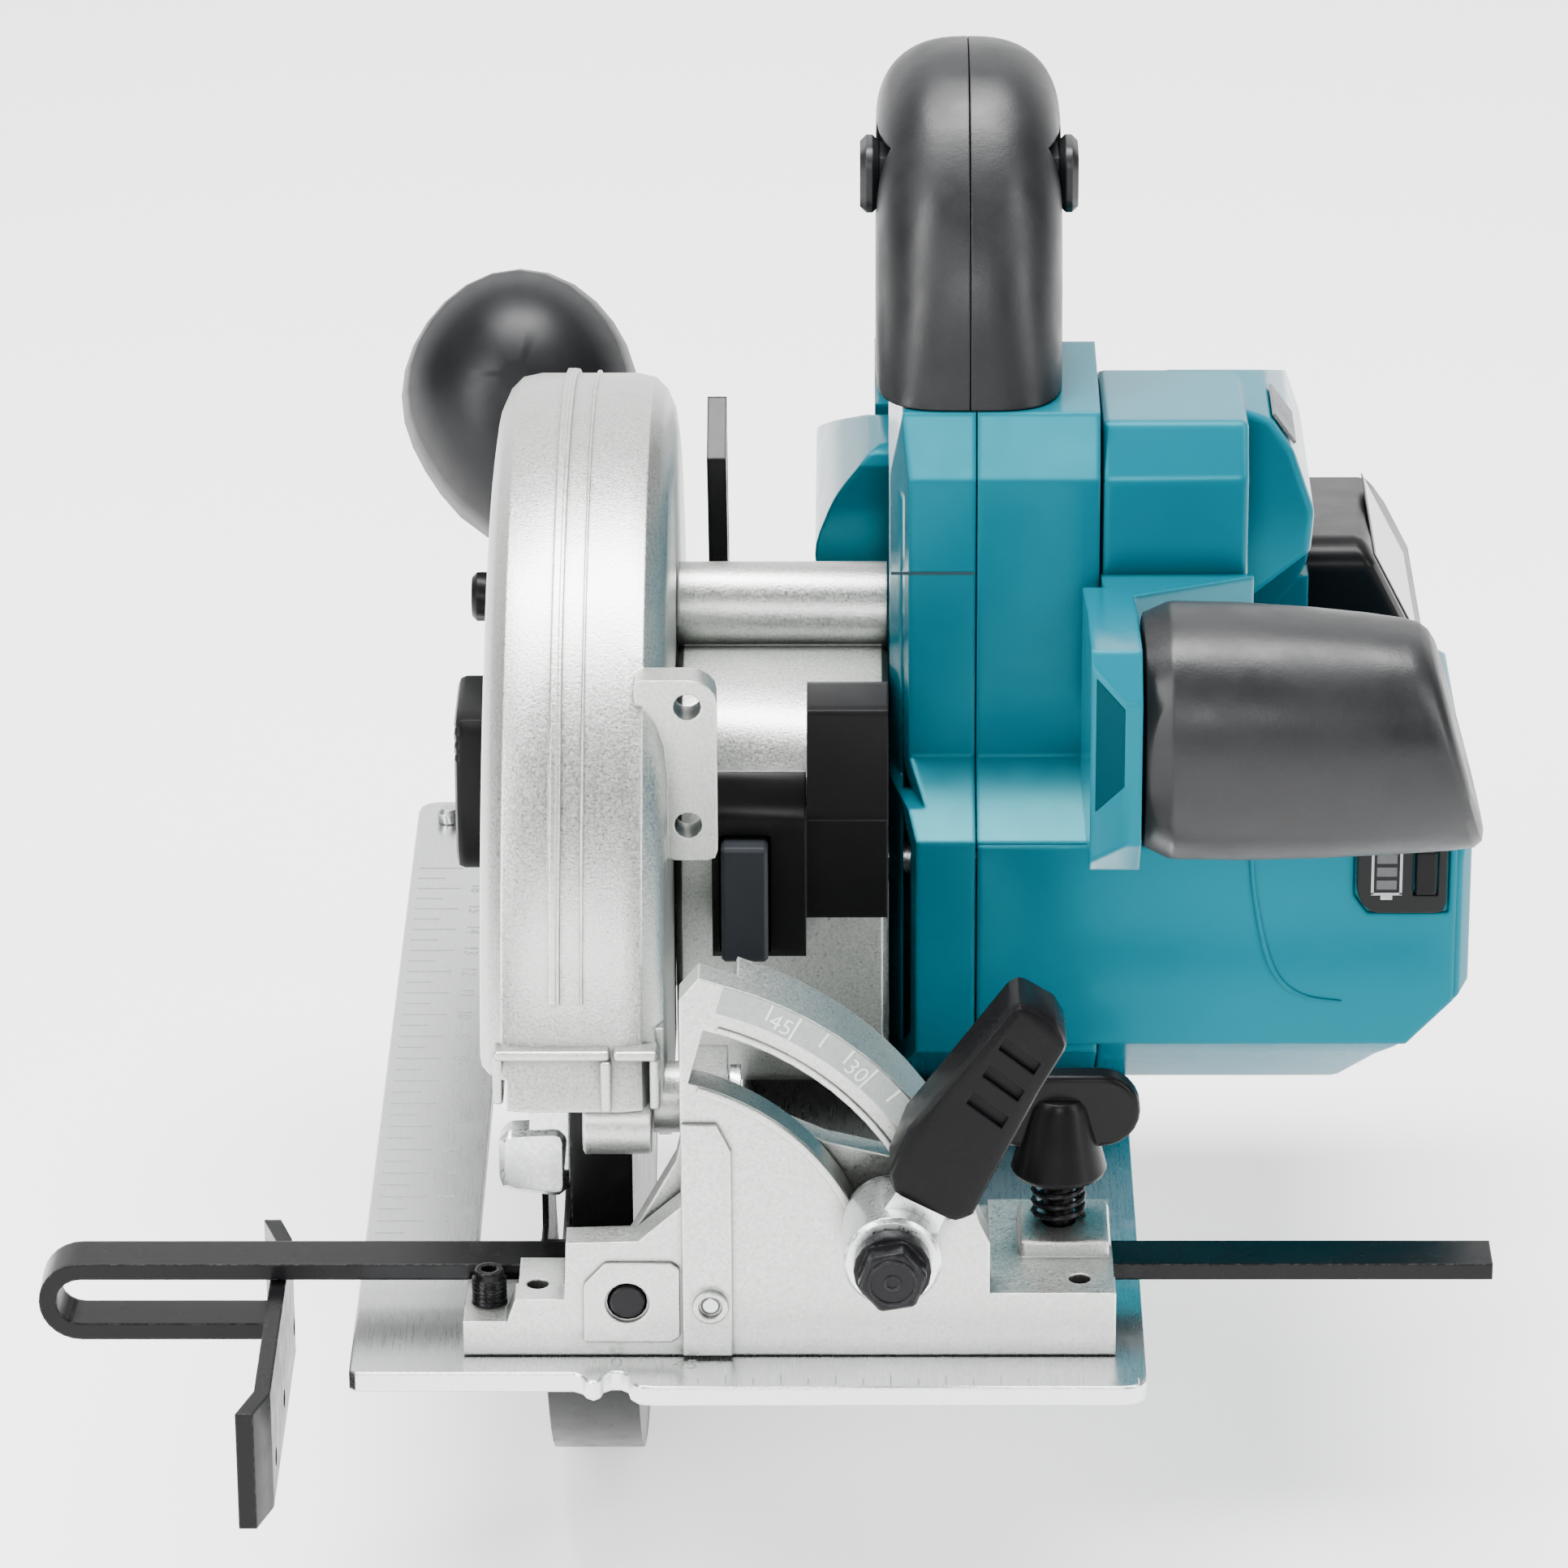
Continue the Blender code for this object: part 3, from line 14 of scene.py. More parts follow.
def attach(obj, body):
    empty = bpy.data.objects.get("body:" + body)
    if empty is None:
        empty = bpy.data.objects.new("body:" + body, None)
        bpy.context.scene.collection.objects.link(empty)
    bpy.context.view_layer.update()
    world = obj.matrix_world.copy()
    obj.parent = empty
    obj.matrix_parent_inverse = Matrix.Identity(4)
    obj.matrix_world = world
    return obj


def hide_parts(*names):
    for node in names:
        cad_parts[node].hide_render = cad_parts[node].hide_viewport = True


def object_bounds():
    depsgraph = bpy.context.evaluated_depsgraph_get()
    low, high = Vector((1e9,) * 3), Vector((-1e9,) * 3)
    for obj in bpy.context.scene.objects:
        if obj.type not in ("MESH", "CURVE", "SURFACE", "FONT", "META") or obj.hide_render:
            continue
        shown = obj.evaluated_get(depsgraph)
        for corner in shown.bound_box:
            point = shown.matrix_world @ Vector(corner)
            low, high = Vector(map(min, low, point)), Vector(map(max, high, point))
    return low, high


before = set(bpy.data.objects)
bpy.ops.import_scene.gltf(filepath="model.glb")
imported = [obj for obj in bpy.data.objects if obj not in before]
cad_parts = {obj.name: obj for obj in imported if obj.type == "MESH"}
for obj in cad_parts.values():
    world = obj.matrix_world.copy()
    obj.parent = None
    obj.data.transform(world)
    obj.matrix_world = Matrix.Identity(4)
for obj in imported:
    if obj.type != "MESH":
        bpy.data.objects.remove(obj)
cad_box = [list(corner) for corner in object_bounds()]

MM = 0.001

# Places in the CAD model, in millimetres
BEVEL_X, BEVEL_Z = -22.0, 15.3
BLADE_Y, BLADE_Z = 8.0, 27.0
SHAFT_Y, SHAFT_Z = -97.5, 42.0
CLAMP_X, CLAMP_Y = 57.0, -94.7
STOP_X, STOP_Y = -47.5, -109.5
BOLT_X, BOLT_Z = 26.2, 32.6
BRACKET_FRONT = -117.9
BASE_TOP = 4.0
CASE_RADIUS = 112.6
QUADRANT_ZERO_DEGREES = 15.8

# Hand grip's middle plane and half width
GRIP_X, GRIP_HALF_WIDTH = 41.4, 17.7
GRIP_GAP = 0.12

# Front grip's axis, which falls slightly toward its outer end
KNOB_X, KNOB_Y, KNOB_Z = 72.0, -70.0, 107.9
KNOB_FALL = 0.02

RIGHT, UP, BACK = (1, 0, 0), (0, 0, 1), (0, 1, 0)

# Edges flatter than these, in degrees, look smooth
SMOOTH_LIMIT, FACETED_LIMIT = 31.0, 13.0
MERGE_DISTANCE = 2e-6
BEVEL_SAMPLES, CREASE_SHADE_SAMPLES = 6, 8

# Colours, linear
TEAL = (0.0, 0.112, 0.158)
TEAL_SHEEN = (0.12, 0.88, 1.0)
# Painted shade for the recess on the front grip's arm
RECESS_SHADE_TEAL = (0.0, 0.030, 0.043)
CLEAR_SHEEN = (1.0, 1.0, 1.0)
RUBBER = (0.0065, 0.007, 0.008)
BLACK = (0.0035, 0.0035, 0.004)
CAST = (0.540, 0.560, 0.530)
ALUMINIUM = (0.70, 0.71, 0.72)
STEEL = (0.560, 0.570, 0.580)
ZINC = (0.780, 0.800, 0.800)
COPPER = (0.720, 0.310, 0.150)
RED = (0.550, 0.025, 0.020)
GREY = (0.105, 0.112, 0.118)
BARE_METAL = (0.22, 0.22, 0.23)


# ---------------------------------------------------------------- materials


class Graph:
    """A material's node tree, with short ways to add the nodes that the finishes share."""

    def __init__(self, name):
        self.material = bpy.data.materials.new(name)
        self.material.use_nodes = True
        self.nodes = self.material.node_tree.nodes
        self.shader = self.nodes["Principled BSDF"]
        self.place = self.nodes.new("ShaderNodeTexCoord").outputs["Object"]

    def link(self, source, target):
        self.material.node_tree.links.new(source, target)

    def set(self, **values):
        for name, value in values.items():
            socket = self.shader.inputs[name.replace("_", " ")]
            socket.default_value = (*value, 1.0) if isinstance(value, tuple) else value

    def stretched(self, factors):
        """The place, with each axis scaled, so that a noise on it has streaks."""
        node = self.nodes.new("ShaderNodeVectorMath")
        node.operation = "MULTIPLY"
        self.link(self.place, node.inputs[0])
        node.inputs[1].default_value = factors
        return node.outputs[0]

    def noise(self, size, detail=2.0, place=None, roughness=0.5):
        """A noise whose features are about size metres across."""
        node = self.nodes.new("ShaderNodeTexNoise")
        node.inputs["Scale"].default_value = 1.0 / size
        node.inputs["Detail"].default_value = detail
        node.inputs["Roughness"].default_value = roughness
        self.link(place or self.place, node.inputs["Vector"])
        return node.outputs["Fac"]

    def spread(self, source, low, high, start=0.3, end=0.7):
        """Maps start..end of the source onto low..high."""
        node = self.nodes.new("ShaderNodeMapRange")
        self.link(source, node.inputs["Value"])
        node.inputs["From Min"].default_value = start
        node.inputs["From Max"].default_value = end
        node.inputs["To Min"].default_value = low
        node.inputs["To Max"].default_value = high
        return node.outputs["Result"]

    def mix(self, factor, first, second):
        node = self.nodes.new("ShaderNodeMix")
        node.data_type = "RGBA"
        self.link(factor, node.inputs["Factor"])
        for socket, value in ((node.inputs["A"], first), (node.inputs["B"], second)):
            if isinstance(value, tuple):
                socket.default_value = (*value, 1.0)
            else:
                self.link(value, socket)
        return node.outputs["Result"]

    def maths(self, operation, first, second):
        node = self.nodes.new("ShaderNodeMath")
        node.operation = operation
        self.link(first, node.inputs[0])
        self.link(second, node.inputs[1])
        return node.outputs[0]

    def edges(self, radius):
        """1 along edges and corners, 0 on the flats."""
        bevel = self.nodes.new("ShaderNodeBevel")
        bevel.samples = BEVEL_SAMPLES
        bevel.inputs["Radius"].default_value = radius
        geometry = self.nodes.new("ShaderNodeNewGeometry")
        dot = self.nodes.new("ShaderNodeVectorMath")
        dot.operation = "DOT_PRODUCT"
        self.link(bevel.outputs["Normal"], dot.inputs[0])
        self.link(geometry.outputs["Normal"], dot.inputs[1])
        return self.spread(dot.outputs["Value"], 1.0, 0.0, 0.86, 0.995)

    def creases(self, reach):
        """Mask for painted shade: 0 in inside corners, rising to 1 on open surfaces, over about
        reach metres.
        """
        node = self.nodes.new("ShaderNodeAmbientOcclusion")
        node.samples = CREASE_SHADE_SAMPLES
        node.inputs["Distance"].default_value = reach
        return self.spread(node.outputs["AO"], 0.0, 1.0, 0.25, 0.85)

    def bump(self, source, depth, round_edges=0.0003):
        """Relief of depth metres, over edges that look round_edges round."""
        node = self.nodes.new("ShaderNodeBump")
        node.inputs["Strength"].default_value = 1.0
        node.inputs["Distance"].default_value = depth
        self.link(source, node.inputs["Height"])
        if round_edges:
            bevel = self.nodes.new("ShaderNodeBevel")
            bevel.samples = BEVEL_SAMPLES
            bevel.inputs["Radius"].default_value = round_edges
            self.link(bevel.outputs["Normal"], node.inputs["Normal"])
        self.link(node.outputs["Normal"], self.shader.inputs["Normal"])

    def colour(self, source):
        self.link(source, self.shader.inputs["Base Color"])

    def rough(self, source):
        self.link(source, self.shader.inputs["Roughness"])


def scaled(colour, factor):
    return tuple(min(1.0, channel * factor) for channel in colour)


def moulded(
    name,
    base,
    roughness,
    grain=0.00025,
    depth=0.000012,
    shine=0.12,
    round_edges=0.0006,
    tint=CLEAR_SHEEN,
):
    """Injection-moulded plastic: fine grain, flow mottle, edges lighter from wear and painted
    highlight, painted crease shade.
    """
    graph = Graph(name)
    mottle = graph.mix(graph.noise(0.030, 2.0), scaled(base, 0.95), scaled(base, 1.05))
    patchy = graph.spread(graph.noise(0.004), 0.25, 0.55)
    # Edges lighter in patches: partly rubbed wear, partly a painted edge highlight.
    worn = graph.maths("MULTIPLY", graph.edges(0.0008), patchy)
    rubbed_and_highlit_edge = tuple(1.5 * channel + 0.05 * max(base) for channel in base)
    body = graph.mix(worn, mottle, rubbed_and_highlit_edge)
    # Painted shade: the colour falls to 0.35 of the base in creases and inside corners.
    graph.colour(graph.mix(graph.creases(0.008), scaled(base, 0.35), body))
    graph.rough(graph.spread(graph.noise(0.007, 3.0), roughness - 0.02, roughness + 0.04))
    graph.bump(graph.noise(grain, 2.0), depth, round_edges)
    graph.set(IOR=1.50, Specular_IOR_Level=shine, Specular_Tint=tint)
    return graph.material


def soft_rubber(name, base, roughness=0.40, shine=0.42):
    """Overmoulded elastomer: stippled, with a soft wide sheen and hand-polished spots."""
    graph = Graph(name)
    mottle = graph.mix(graph.noise(0.012, 4.0), scaled(base, 0.80), scaled(base, 1.25))
    dust = graph.spread(graph.noise(0.0011, 3.0), 0.0, 0.30, 0.55, 0.80)
    graph.colour(graph.mix(dust, mottle, scaled(base, 2.1)))
    graph.rough(graph.spread(graph.noise(0.010, 3.0), roughness - 0.06, roughness + 0.08))
    stipple = graph.maths("ADD", graph.noise(0.00045, 2.0), graph.noise(0.0016, 1.0))
    graph.bump(stipple, 0.000020, 0.0005)
    graph.set(IOR=1.46, Specular_IOR_Level=shine)
    return graph.material


def sand_cast(name, base):
    """Die-cast metal under silver paint: sandy sparkle, painted shade in hollows, edges brighter
    from wear and painted highlight.
    """
    graph = Graph(name)
    sand = graph.noise(0.00055, 4.0, roughness=0.65)
    speckle = graph.spread(sand, 0.0, 1.0, 0.36, 0.64)
    body = graph.mix(speckle, scaled(base, 0.76), scaled(base, 1.14))
    patch = graph.spread(graph.noise(0.022, 3.0), 0.0, 0.35)
    body = graph.mix(patch, body, scaled(base, 0.90))
    patchy = graph.spread(graph.noise(0.003), 0.2, 0.9)
    # Edges brighter in patches: partly rubbed paint, partly a painted edge highlight.
    rubbed = graph.maths("MULTIPLY", graph.edges(0.0009), patchy)
    body = graph.mix(rubbed, body, scaled(base, 1.7))
    # Painted shade: the colour falls to 0.25 of the base in hollows and inside corners.
    graph.colour(graph.mix(graph.creases(0.006), scaled(base, 0.25), body))
    graph.rough(graph.spread(sand, 0.26, 0.42))
    graph.bump(sand, 0.00007, 0.0006)
    graph.set(Metallic=0.90, IOR=1.5)
    return graph.material


def rolled(name, base, along):
    """Mill-finish sheet: fine streaks along the rolling direction and a few handling scuffs."""
    graph = Graph(name)
    streak = graph.noise(0.0004, 3.0, graph.stretched(along), 0.5)
    cloud = graph.noise(0.03, 3.0)
    body = graph.mix(graph.spread(streak, 0.0, 1.0), scaled(base, 0.96), scaled(base, 1.02))
    graph.colour(graph.mix(graph.spread(cloud, 0.0, 0.3), body, scaled(base, 0.86)))
    scuff = graph.spread(graph.noise(0.009, 5.0, roughness=0.7), 0.0, 0.08, 0.55, 0.75)
    graph.rough(graph.maths("ADD", graph.spread(streak, 0.26, 0.30), scuff))
    graph.bump(streak, 0.0000015, 0.0005)
    graph.set(Metallic=1.0)
    return graph.material


def bright_metal(name, base, roughness, along):
    """Turned or ground metal: tool marks round or along the piece, with faint staining."""
    graph = Graph(name)
    marks = graph.noise(0.00035, 3.0, graph.stretched(along), 0.6)
    stain = graph.noise(0.006, 4.0)
    graph.colour(graph.mix(stain, scaled(base, 0.82), scaled(base, 1.10)))
    graph.rough(graph.spread(marks, roughness - 0.08, roughness + 0.12))
    graph.bump(marks, 0.000012, 0.0003)
    graph.set(Metallic=1.0)
    return graph.material


def black_steel(name, base=(0.003, 0.003, 0.0035), roughness=0.24):
    """Stove-enamelled steel: orange peel, and bare metal where corners have rubbed."""
    graph = Graph(name)
    peel = graph.noise(0.0012, 2.0)
    bare = graph.spread(graph.noise(0.0014, 4.0, roughness=0.7), 0.0, 0.30, 0.46, 0.66)
    worn = graph.maths("MULTIPLY", graph.edges(0.0005), bare)
    mottle = graph.mix(graph.noise(0.015, 3.0), scaled(base, 0.8), scaled(base, 1.3))
    graph.colour(graph.mix(worn, mottle, BARE_METAL))
    graph.rough(graph.spread(graph.noise(0.005, 3.0), roughness - 0.03, roughness + 0.05))
    graph.bump(peel, 0.000006, 0.0007)
    graph.set(IOR=1.5, Specular_IOR_Level=0.15)
    return graph.material


def windings(name):
    """Enamelled copper wire laid side by side, 0.7 mm thick."""
    graph = Graph(name)
    wave = graph.nodes.new("ShaderNodeTexWave")
    wave.bands_direction = "X"
    wave.inputs["Scale"].default_value = 1.0 / 0.0022
    wave.inputs["Distortion"].default_value = 0.6
    graph.link(graph.place, wave.inputs["Vector"])
    graph.colour(graph.mix(wave.outputs["Fac"], scaled(COPPER, 0.45), COPPER))
    graph.rough(graph.spread(graph.noise(0.002), 0.22, 0.38))
    graph.bump(wave.outputs["Fac"], 0.00012, 0.0)
    graph.set(Metallic=0.9)
    return graph.material


def clear_lens(name):
    """Clear plastic, a little uneven in tint and polish."""
    graph = Graph(name)
    graph.colour(graph.mix(graph.noise(0.004), (0.86, 0.89, 0.90), (0.94, 0.96, 0.97)))
    graph.rough(graph.spread(graph.noise(0.002), 0.04, 0.10))
    graph.bump(graph.noise(0.0012), 0.00002, 0.0003)
    graph.set(Transmission_Weight=0.85, IOR=1.49)
    return graph.material


def speckled(name, base):
    """Printed plastic film with a fine light speckle."""
    graph = Graph(name)
    dots = graph.spread(graph.noise(0.0005, 1.0), 0.0, 1.0, 0.60, 0.66)
    ground = graph.mix(graph.noise(0.010, 2.0), scaled(base, 0.9), scaled(base, 1.15))
    graph.colour(graph.mix(dots, ground, scaled(base, 2.0)))
    graph.rough(graph.spread(graph.noise(0.004), 0.42, 0.56))
    graph.bump(graph.noise(0.0003), 0.00001, 0.0003)
    return graph.material


def ink(name, base, roughness=0.45):
    """Printing or paint filled into an engraving, a little patchy."""
    graph = Graph(name)
    graph.colour(graph.mix(graph.noise(0.0009, 3.0), scaled(base, 0.75), scaled(base, 1.15)))
    graph.rough(graph.spread(graph.noise(0.001), roughness - 0.05, roughness + 0.1))
    graph.bump(graph.noise(0.0003), 0.000008, 0.0)
    return graph.material


FINISH = {
    "teal": moulded(
        "teal_plastic",
        TEAL,
        0.17,
        grain=0.00022,
        depth=0.000003,
        shine=0.30,
        round_edges=0.0014,
        tint=TEAL_SHEEN,
    ),
    # A dark sheet of painted shade for the front grip arm's recess
    "shade_teal": moulded("painted_recess_shade", RECESS_SHADE_TEAL, 0.30, tint=TEAL_SHEEN),
    "silver_print": ink("silver_print", (0.36, 0.37, 0.38)),
    "ink_grey": ink("grey_print", (0.060, 0.062, 0.066)),
    "rubber": soft_rubber("grip_rubber", RUBBER),
    "lever_rubber": soft_rubber("lever_rubber", (0.004, 0.004, 0.0045), 0.30, 0.10),
    "nozzle": moulded("nozzle_plastic", (0.0045, 0.005, 0.006), 0.40, 0.0003, 0.000010, 0.22),
    "black": moulded("black_plastic", BLACK, 0.33, 0.0003, 0.000014),
    "lever_plastic": moulded("lever_plastic", (0.007, 0.007, 0.0075), 0.38, 0.0003, 0.00002),
    "lock_plastic": moulded("lock_plastic", (0.022, 0.025, 0.030), 0.42, 0.0003, 0.00002),
    "red": moulded("red_plastic", RED, 0.35, 0.0003, 0.000012),
    "panel": moulded("panel_plastic", (0.009, 0.0095, 0.010), 0.30, 0.0003, 0.000008),
    "cast": sand_cast("cast_metal", CAST),
    "plate": rolled("mill_aluminium", ALUMINIUM, (1.0, 0.03, 1.0)),
    "turned_x": bright_metal("turned_steel_x", STEEL, 0.28, (1.0, 0.05, 0.05)),
    "turned_y": bright_metal("turned_steel_y", STEEL, 0.28, (0.05, 1.0, 0.05)),
    "blade": bright_metal("blade_steel", (0.52, 0.52, 0.53), 0.22, (1.0, 0.3, 0.3)),
    "zinc": bright_metal("zinc_plate", ZINC, 0.30, (0.4, 1.0, 0.4)),
    "black_steel": black_steel("black_steel"),
    "guide_steel": black_steel("guide_steel", (0.004, 0.004, 0.005), 0.20),
    "bolt_steel": black_steel("bolt_steel", (0.005, 0.005, 0.006), 0.26),
    "copper": windings("copper_windings"),
    "lens": clear_lens("lens"),
    "speckled": speckled("speckled_film", GREY),
    "seam": ink("seam_shadow", (0.004, 0.030, 0.040), 0.6),
    "ink_white": ink("ink_white", (0.74, 0.75, 0.76)),
    "mark": ink("mark_grey", (0.34, 0.36, 0.35)),
    "scale_band": ink("scale_band", (0.30, 0.34, 0.325), 0.30),
}


# ---------------------------------------------------------------- CAD nodes


def smoothing(limit):
    """Modifier tree that joins doubled points and smooths every edge flatter than the limit."""
    tree = bpy.data.node_groups.new("smooth_by_angle", "GeometryNodeTree")
    tree.interface.new_socket("Geometry", in_out="INPUT", socket_type="NodeSocketGeometry")
    tree.interface.new_socket("Geometry", in_out="OUTPUT", socket_type="NodeSocketGeometry")
    entry = tree.nodes.new("NodeGroupInput")
    leave = tree.nodes.new("NodeGroupOutput")
    merge = tree.nodes.new("GeometryNodeMergeByDistance")
    merge.inputs["Distance"].default_value = MERGE_DISTANCE
    faces = tree.nodes.new("GeometryNodeSetShadeSmooth")
    faces.domain = "FACE"
    edges = tree.nodes.new("GeometryNodeSetShadeSmooth")
    edges.domain = "EDGE"
    edges.inputs["Shade Smooth"].default_value = False
    angle = tree.nodes.new("GeometryNodeInputMeshEdgeAngle")
    steep = tree.nodes.new("FunctionNodeCompare")
    steep.operation = "GREATER_THAN"
    steep.inputs["B"].default_value = math.radians(limit)
    link = tree.links.new
    link(entry.outputs[0], merge.inputs["Geometry"])
    link(merge.outputs[0], faces.inputs["Geometry"])
    link(faces.outputs[0], edges.inputs["Geometry"])
    link(angle.outputs["Unsigned Angle"], steep.inputs["A"])
    link(steep.outputs["Result"], edges.inputs["Selection"])
    link(edges.outputs[0], leave.inputs[0])
    return tree


SMOOTH = smoothing(SMOOTH_LIMIT)
FACETED = smoothing(FACETED_LIMIT)


def shade(obj, tree=SMOOTH):
    """Smooth shading between the edges that stay sharp, with large faces kept flat."""
    modifier = obj.modifiers.new("smooth", "NODES")
    modifier.node_group = tree
    weigh = obj.modifiers.new("weigh", "WEIGHTED_NORMAL")
    weigh.keep_sharp = True


def finish_node(name, finish):
    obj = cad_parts[name]
    obj.data.materials.clear()
    obj.data.materials.append(FINISH[finish])
    shade(obj, FACETED if finish == "teal" else SMOOTH)


NODE_FINISH = {
    "teal": "housing_left housing_right motor_housing control_housing battery_housing grip_arm",
    "rubber": "handle_left handle_right front_grip lock_off_button",
    "lever_rubber": "lever_grip",
    "nozzle": "dust_nozzle",
    "black": "side_bumper wing_screw lamp_block lamp_cover nozzle_screw trigger fan battery "
    "gauge_button",
    "lever_plastic": "depth_lever",
    "lock_plastic": "shaft_lock",
    "panel": "gauge_panel",
    "speckled": "rating_plate",
    "cast": "quadrant_bracket rear_bracket angular_plate blade_case gear_housing",
    "plate": "base_plate",
    "turned_x": "inner_flange outer_flange spindle spindle_gear rotor depth_shaft depth_stud",
    "turned_y": "bevel_washer column_rivet corner_rivet",
    "blade": "saw_blade",
    "zinc": "bevel_lever guard_lever",
    "black_steel": "rip_fence lower_guard stop_screw",
    "guide_steel": "depth_guide",
    "bolt_steel": "clamp_spring bevel_bolt blade_bolt front_pivot_pin rear_pivot_pin",
    "copper": "stator",
    "lens": "lamp_lens",
    "red": "battery_release",
}


def finish_cad():
    for finish, names in NODE_FINISH.items():
        for name in names.split():
            finish_node(name, finish)


# ---------------------------------------------------------------- pieces


def piece(name, mesh_or_bm, finish, body):
    """An object of the saw, in place, with its finish and the body that it rides on."""
    mesh = mesh_or_bm
    if isinstance(mesh, bmesh.types.BMesh):
        mesh = bpy.data.meshes.new(name)
        bmesh.ops.recalc_face_normals(mesh_or_bm, faces=mesh_or_bm.faces)
        mesh_or_bm.to_mesh(mesh)
        mesh_or_bm.free()
    obj = bpy.data.objects.new(name, mesh)
    bpy.context.scene.collection.objects.link(obj)
    mesh.materials.clear()
    mesh.materials.append(FINISH[finish])
    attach(obj, body)
    return obj


def add_bar(bm, centre, right, up, width, height, thick):
    """A flat bar on a surface; right and up lie in it, and the bar stands half proud of it."""
    right, up = Vector(right).normalized(), Vector(up).normalized()
    out = right.cross(up)
    corners = []
    for depth in (-0.5, 0.5):
        for x, y in ((-0.5, -0.5), (0.5, -0.5), (0.5, 0.5), (-0.5, 0.5)):
            spot = right * x * width + up * y * height + out * depth * thick
            corners.append(bm.verts.new((Vector(centre) + spot) * MM))
    sides = ((0, 1, 5, 4), (1, 2, 6, 5), (2, 3, 7, 6), (3, 0, 4, 7))
    for face in ((0, 1, 2, 3), (4, 5, 6, 7), *sides):
        bm.faces.new([corners[index] for index in face])


def add_text(bm, words, size, centre, right, up, thick):
    """Raised figures on a surface, size millimetres tall, centred on a point."""
    right, up = Vector(right).normalized(), Vector(up).normalized()
    out = right.cross(up)
    curve = bpy.data.curves.new("figures", "FONT")
    curve.body = words
    curve.align_x = "CENTER"
    curve.align_y = "CENTER"
    curve.size = size * 1.4
    curve.extrude = thick / 2
    curve.resolution_u = 3
    carrier = bpy.data.objects.new("figures", curve)
    bpy.context.scene.collection.objects.link(carrier)
    mesh = bpy.data.meshes.new_from_object(carrier)
    bpy.data.objects.remove(carrier)
    turn = Matrix((right, up, out)).transposed().to_4x4()
    mesh.transform(Matrix.Scale(MM, 4) @ Matrix.Translation(Vector(centre)) @ turn)
    bm.from_mesh(mesh)
    bpy.data.meshes.remove(mesh)


def spline(points, steps):
    """A smooth curve through the points, with steps spans between each pair."""
    made = []
    points = [Vector(point) for point in points]
    ends = [2 * points[0] - points[1], *points, 2 * points[-1] - points[-2]]
    for a, b, c, d in zip(ends, ends[1:], ends[2:], ends[3:]):
        for step in range(steps):
            t = step / steps
            square = (2 * a - 5 * b + 4 * c - d) * t**2
            cube = (3 * b - a - 3 * c + d) * t**3
            made.append(0.5 * (2 * b + (c - a) * t + square + cube))
    return made + [points[-1]]


def skin(rings):
    """A closed body through rings of equal length, in millimetres."""
    bm = bmesh.new()
    made = [[bm.verts.new(Vector(point) * MM) for point in ring] for ring in rings]
    count = len(made[0])
    for ring, following in zip(made, made[1:]):
        for place in range(count):
            after = (place + 1) % count
            bm.faces.new((ring[place], following[place], following[after], ring[after]))
    bm.faces.new(made[0])
    bm.faces.new(made[-1])
    return bm


def evaluated_mesh(obj):
    """A free copy of a piece's mesh with its modifiers applied."""
    bpy.context.view_layer.update()
    graph = bpy.context.evaluated_depsgraph_get()
    return bpy.data.meshes.new_from_object(obj.evaluated_get(graph))


def cut(obj, cutter, operation="DIFFERENCE"):
    """Applies a Boolean to a piece and removes the cutter."""
    modifier = obj.modifiers.new("cut", "BOOLEAN")
    modifier.operation = operation
    modifier.solver = "EXACT"
    modifier.object = cutter
    mesh = evaluated_mesh(obj)
    obj.modifiers.clear()
    obj.data = mesh
    bpy.data.objects.remove(cutter)


def solid_copy(obj):
    """A free copy of a piece with its modifiers applied, for a Boolean."""
    made = bpy.data.objects.new("copy", evaluated_mesh(obj))
    made.matrix_world = obj.matrix_world
    bpy.context.scene.collection.objects.link(made)
    return made


def block(x0, x1, y0, y1, z0, z1):
    """A plain cutter for pockets, in millimetres."""
    ends = [[(x, y, z) for x, y in ((x0, y0), (x1, y0), (x1, y1), (x0, y1))] for z in (z0, z1)]
    bm = skin(ends)
    bmesh.ops.recalc_face_normals(bm, faces=bm.faces)
    mesh = bpy.data.meshes.new("cutter")
    bm.to_mesh(mesh)
    bm.free()
    obj = bpy.data.objects.new("cutter", mesh)
    bpy.context.scene.collection.objects.link(obj)
    return obj


def soft_edges(obj, width, segments):
    """Rounds every edge sharper than 30 degrees."""
    modifier = obj.modifiers.new("soften", "BEVEL")
    modifier.width = width * MM
    modifier.segments = segments
    modifier.limit_method = "ANGLE"
    modifier.angle_limit = math.radians(30.0)


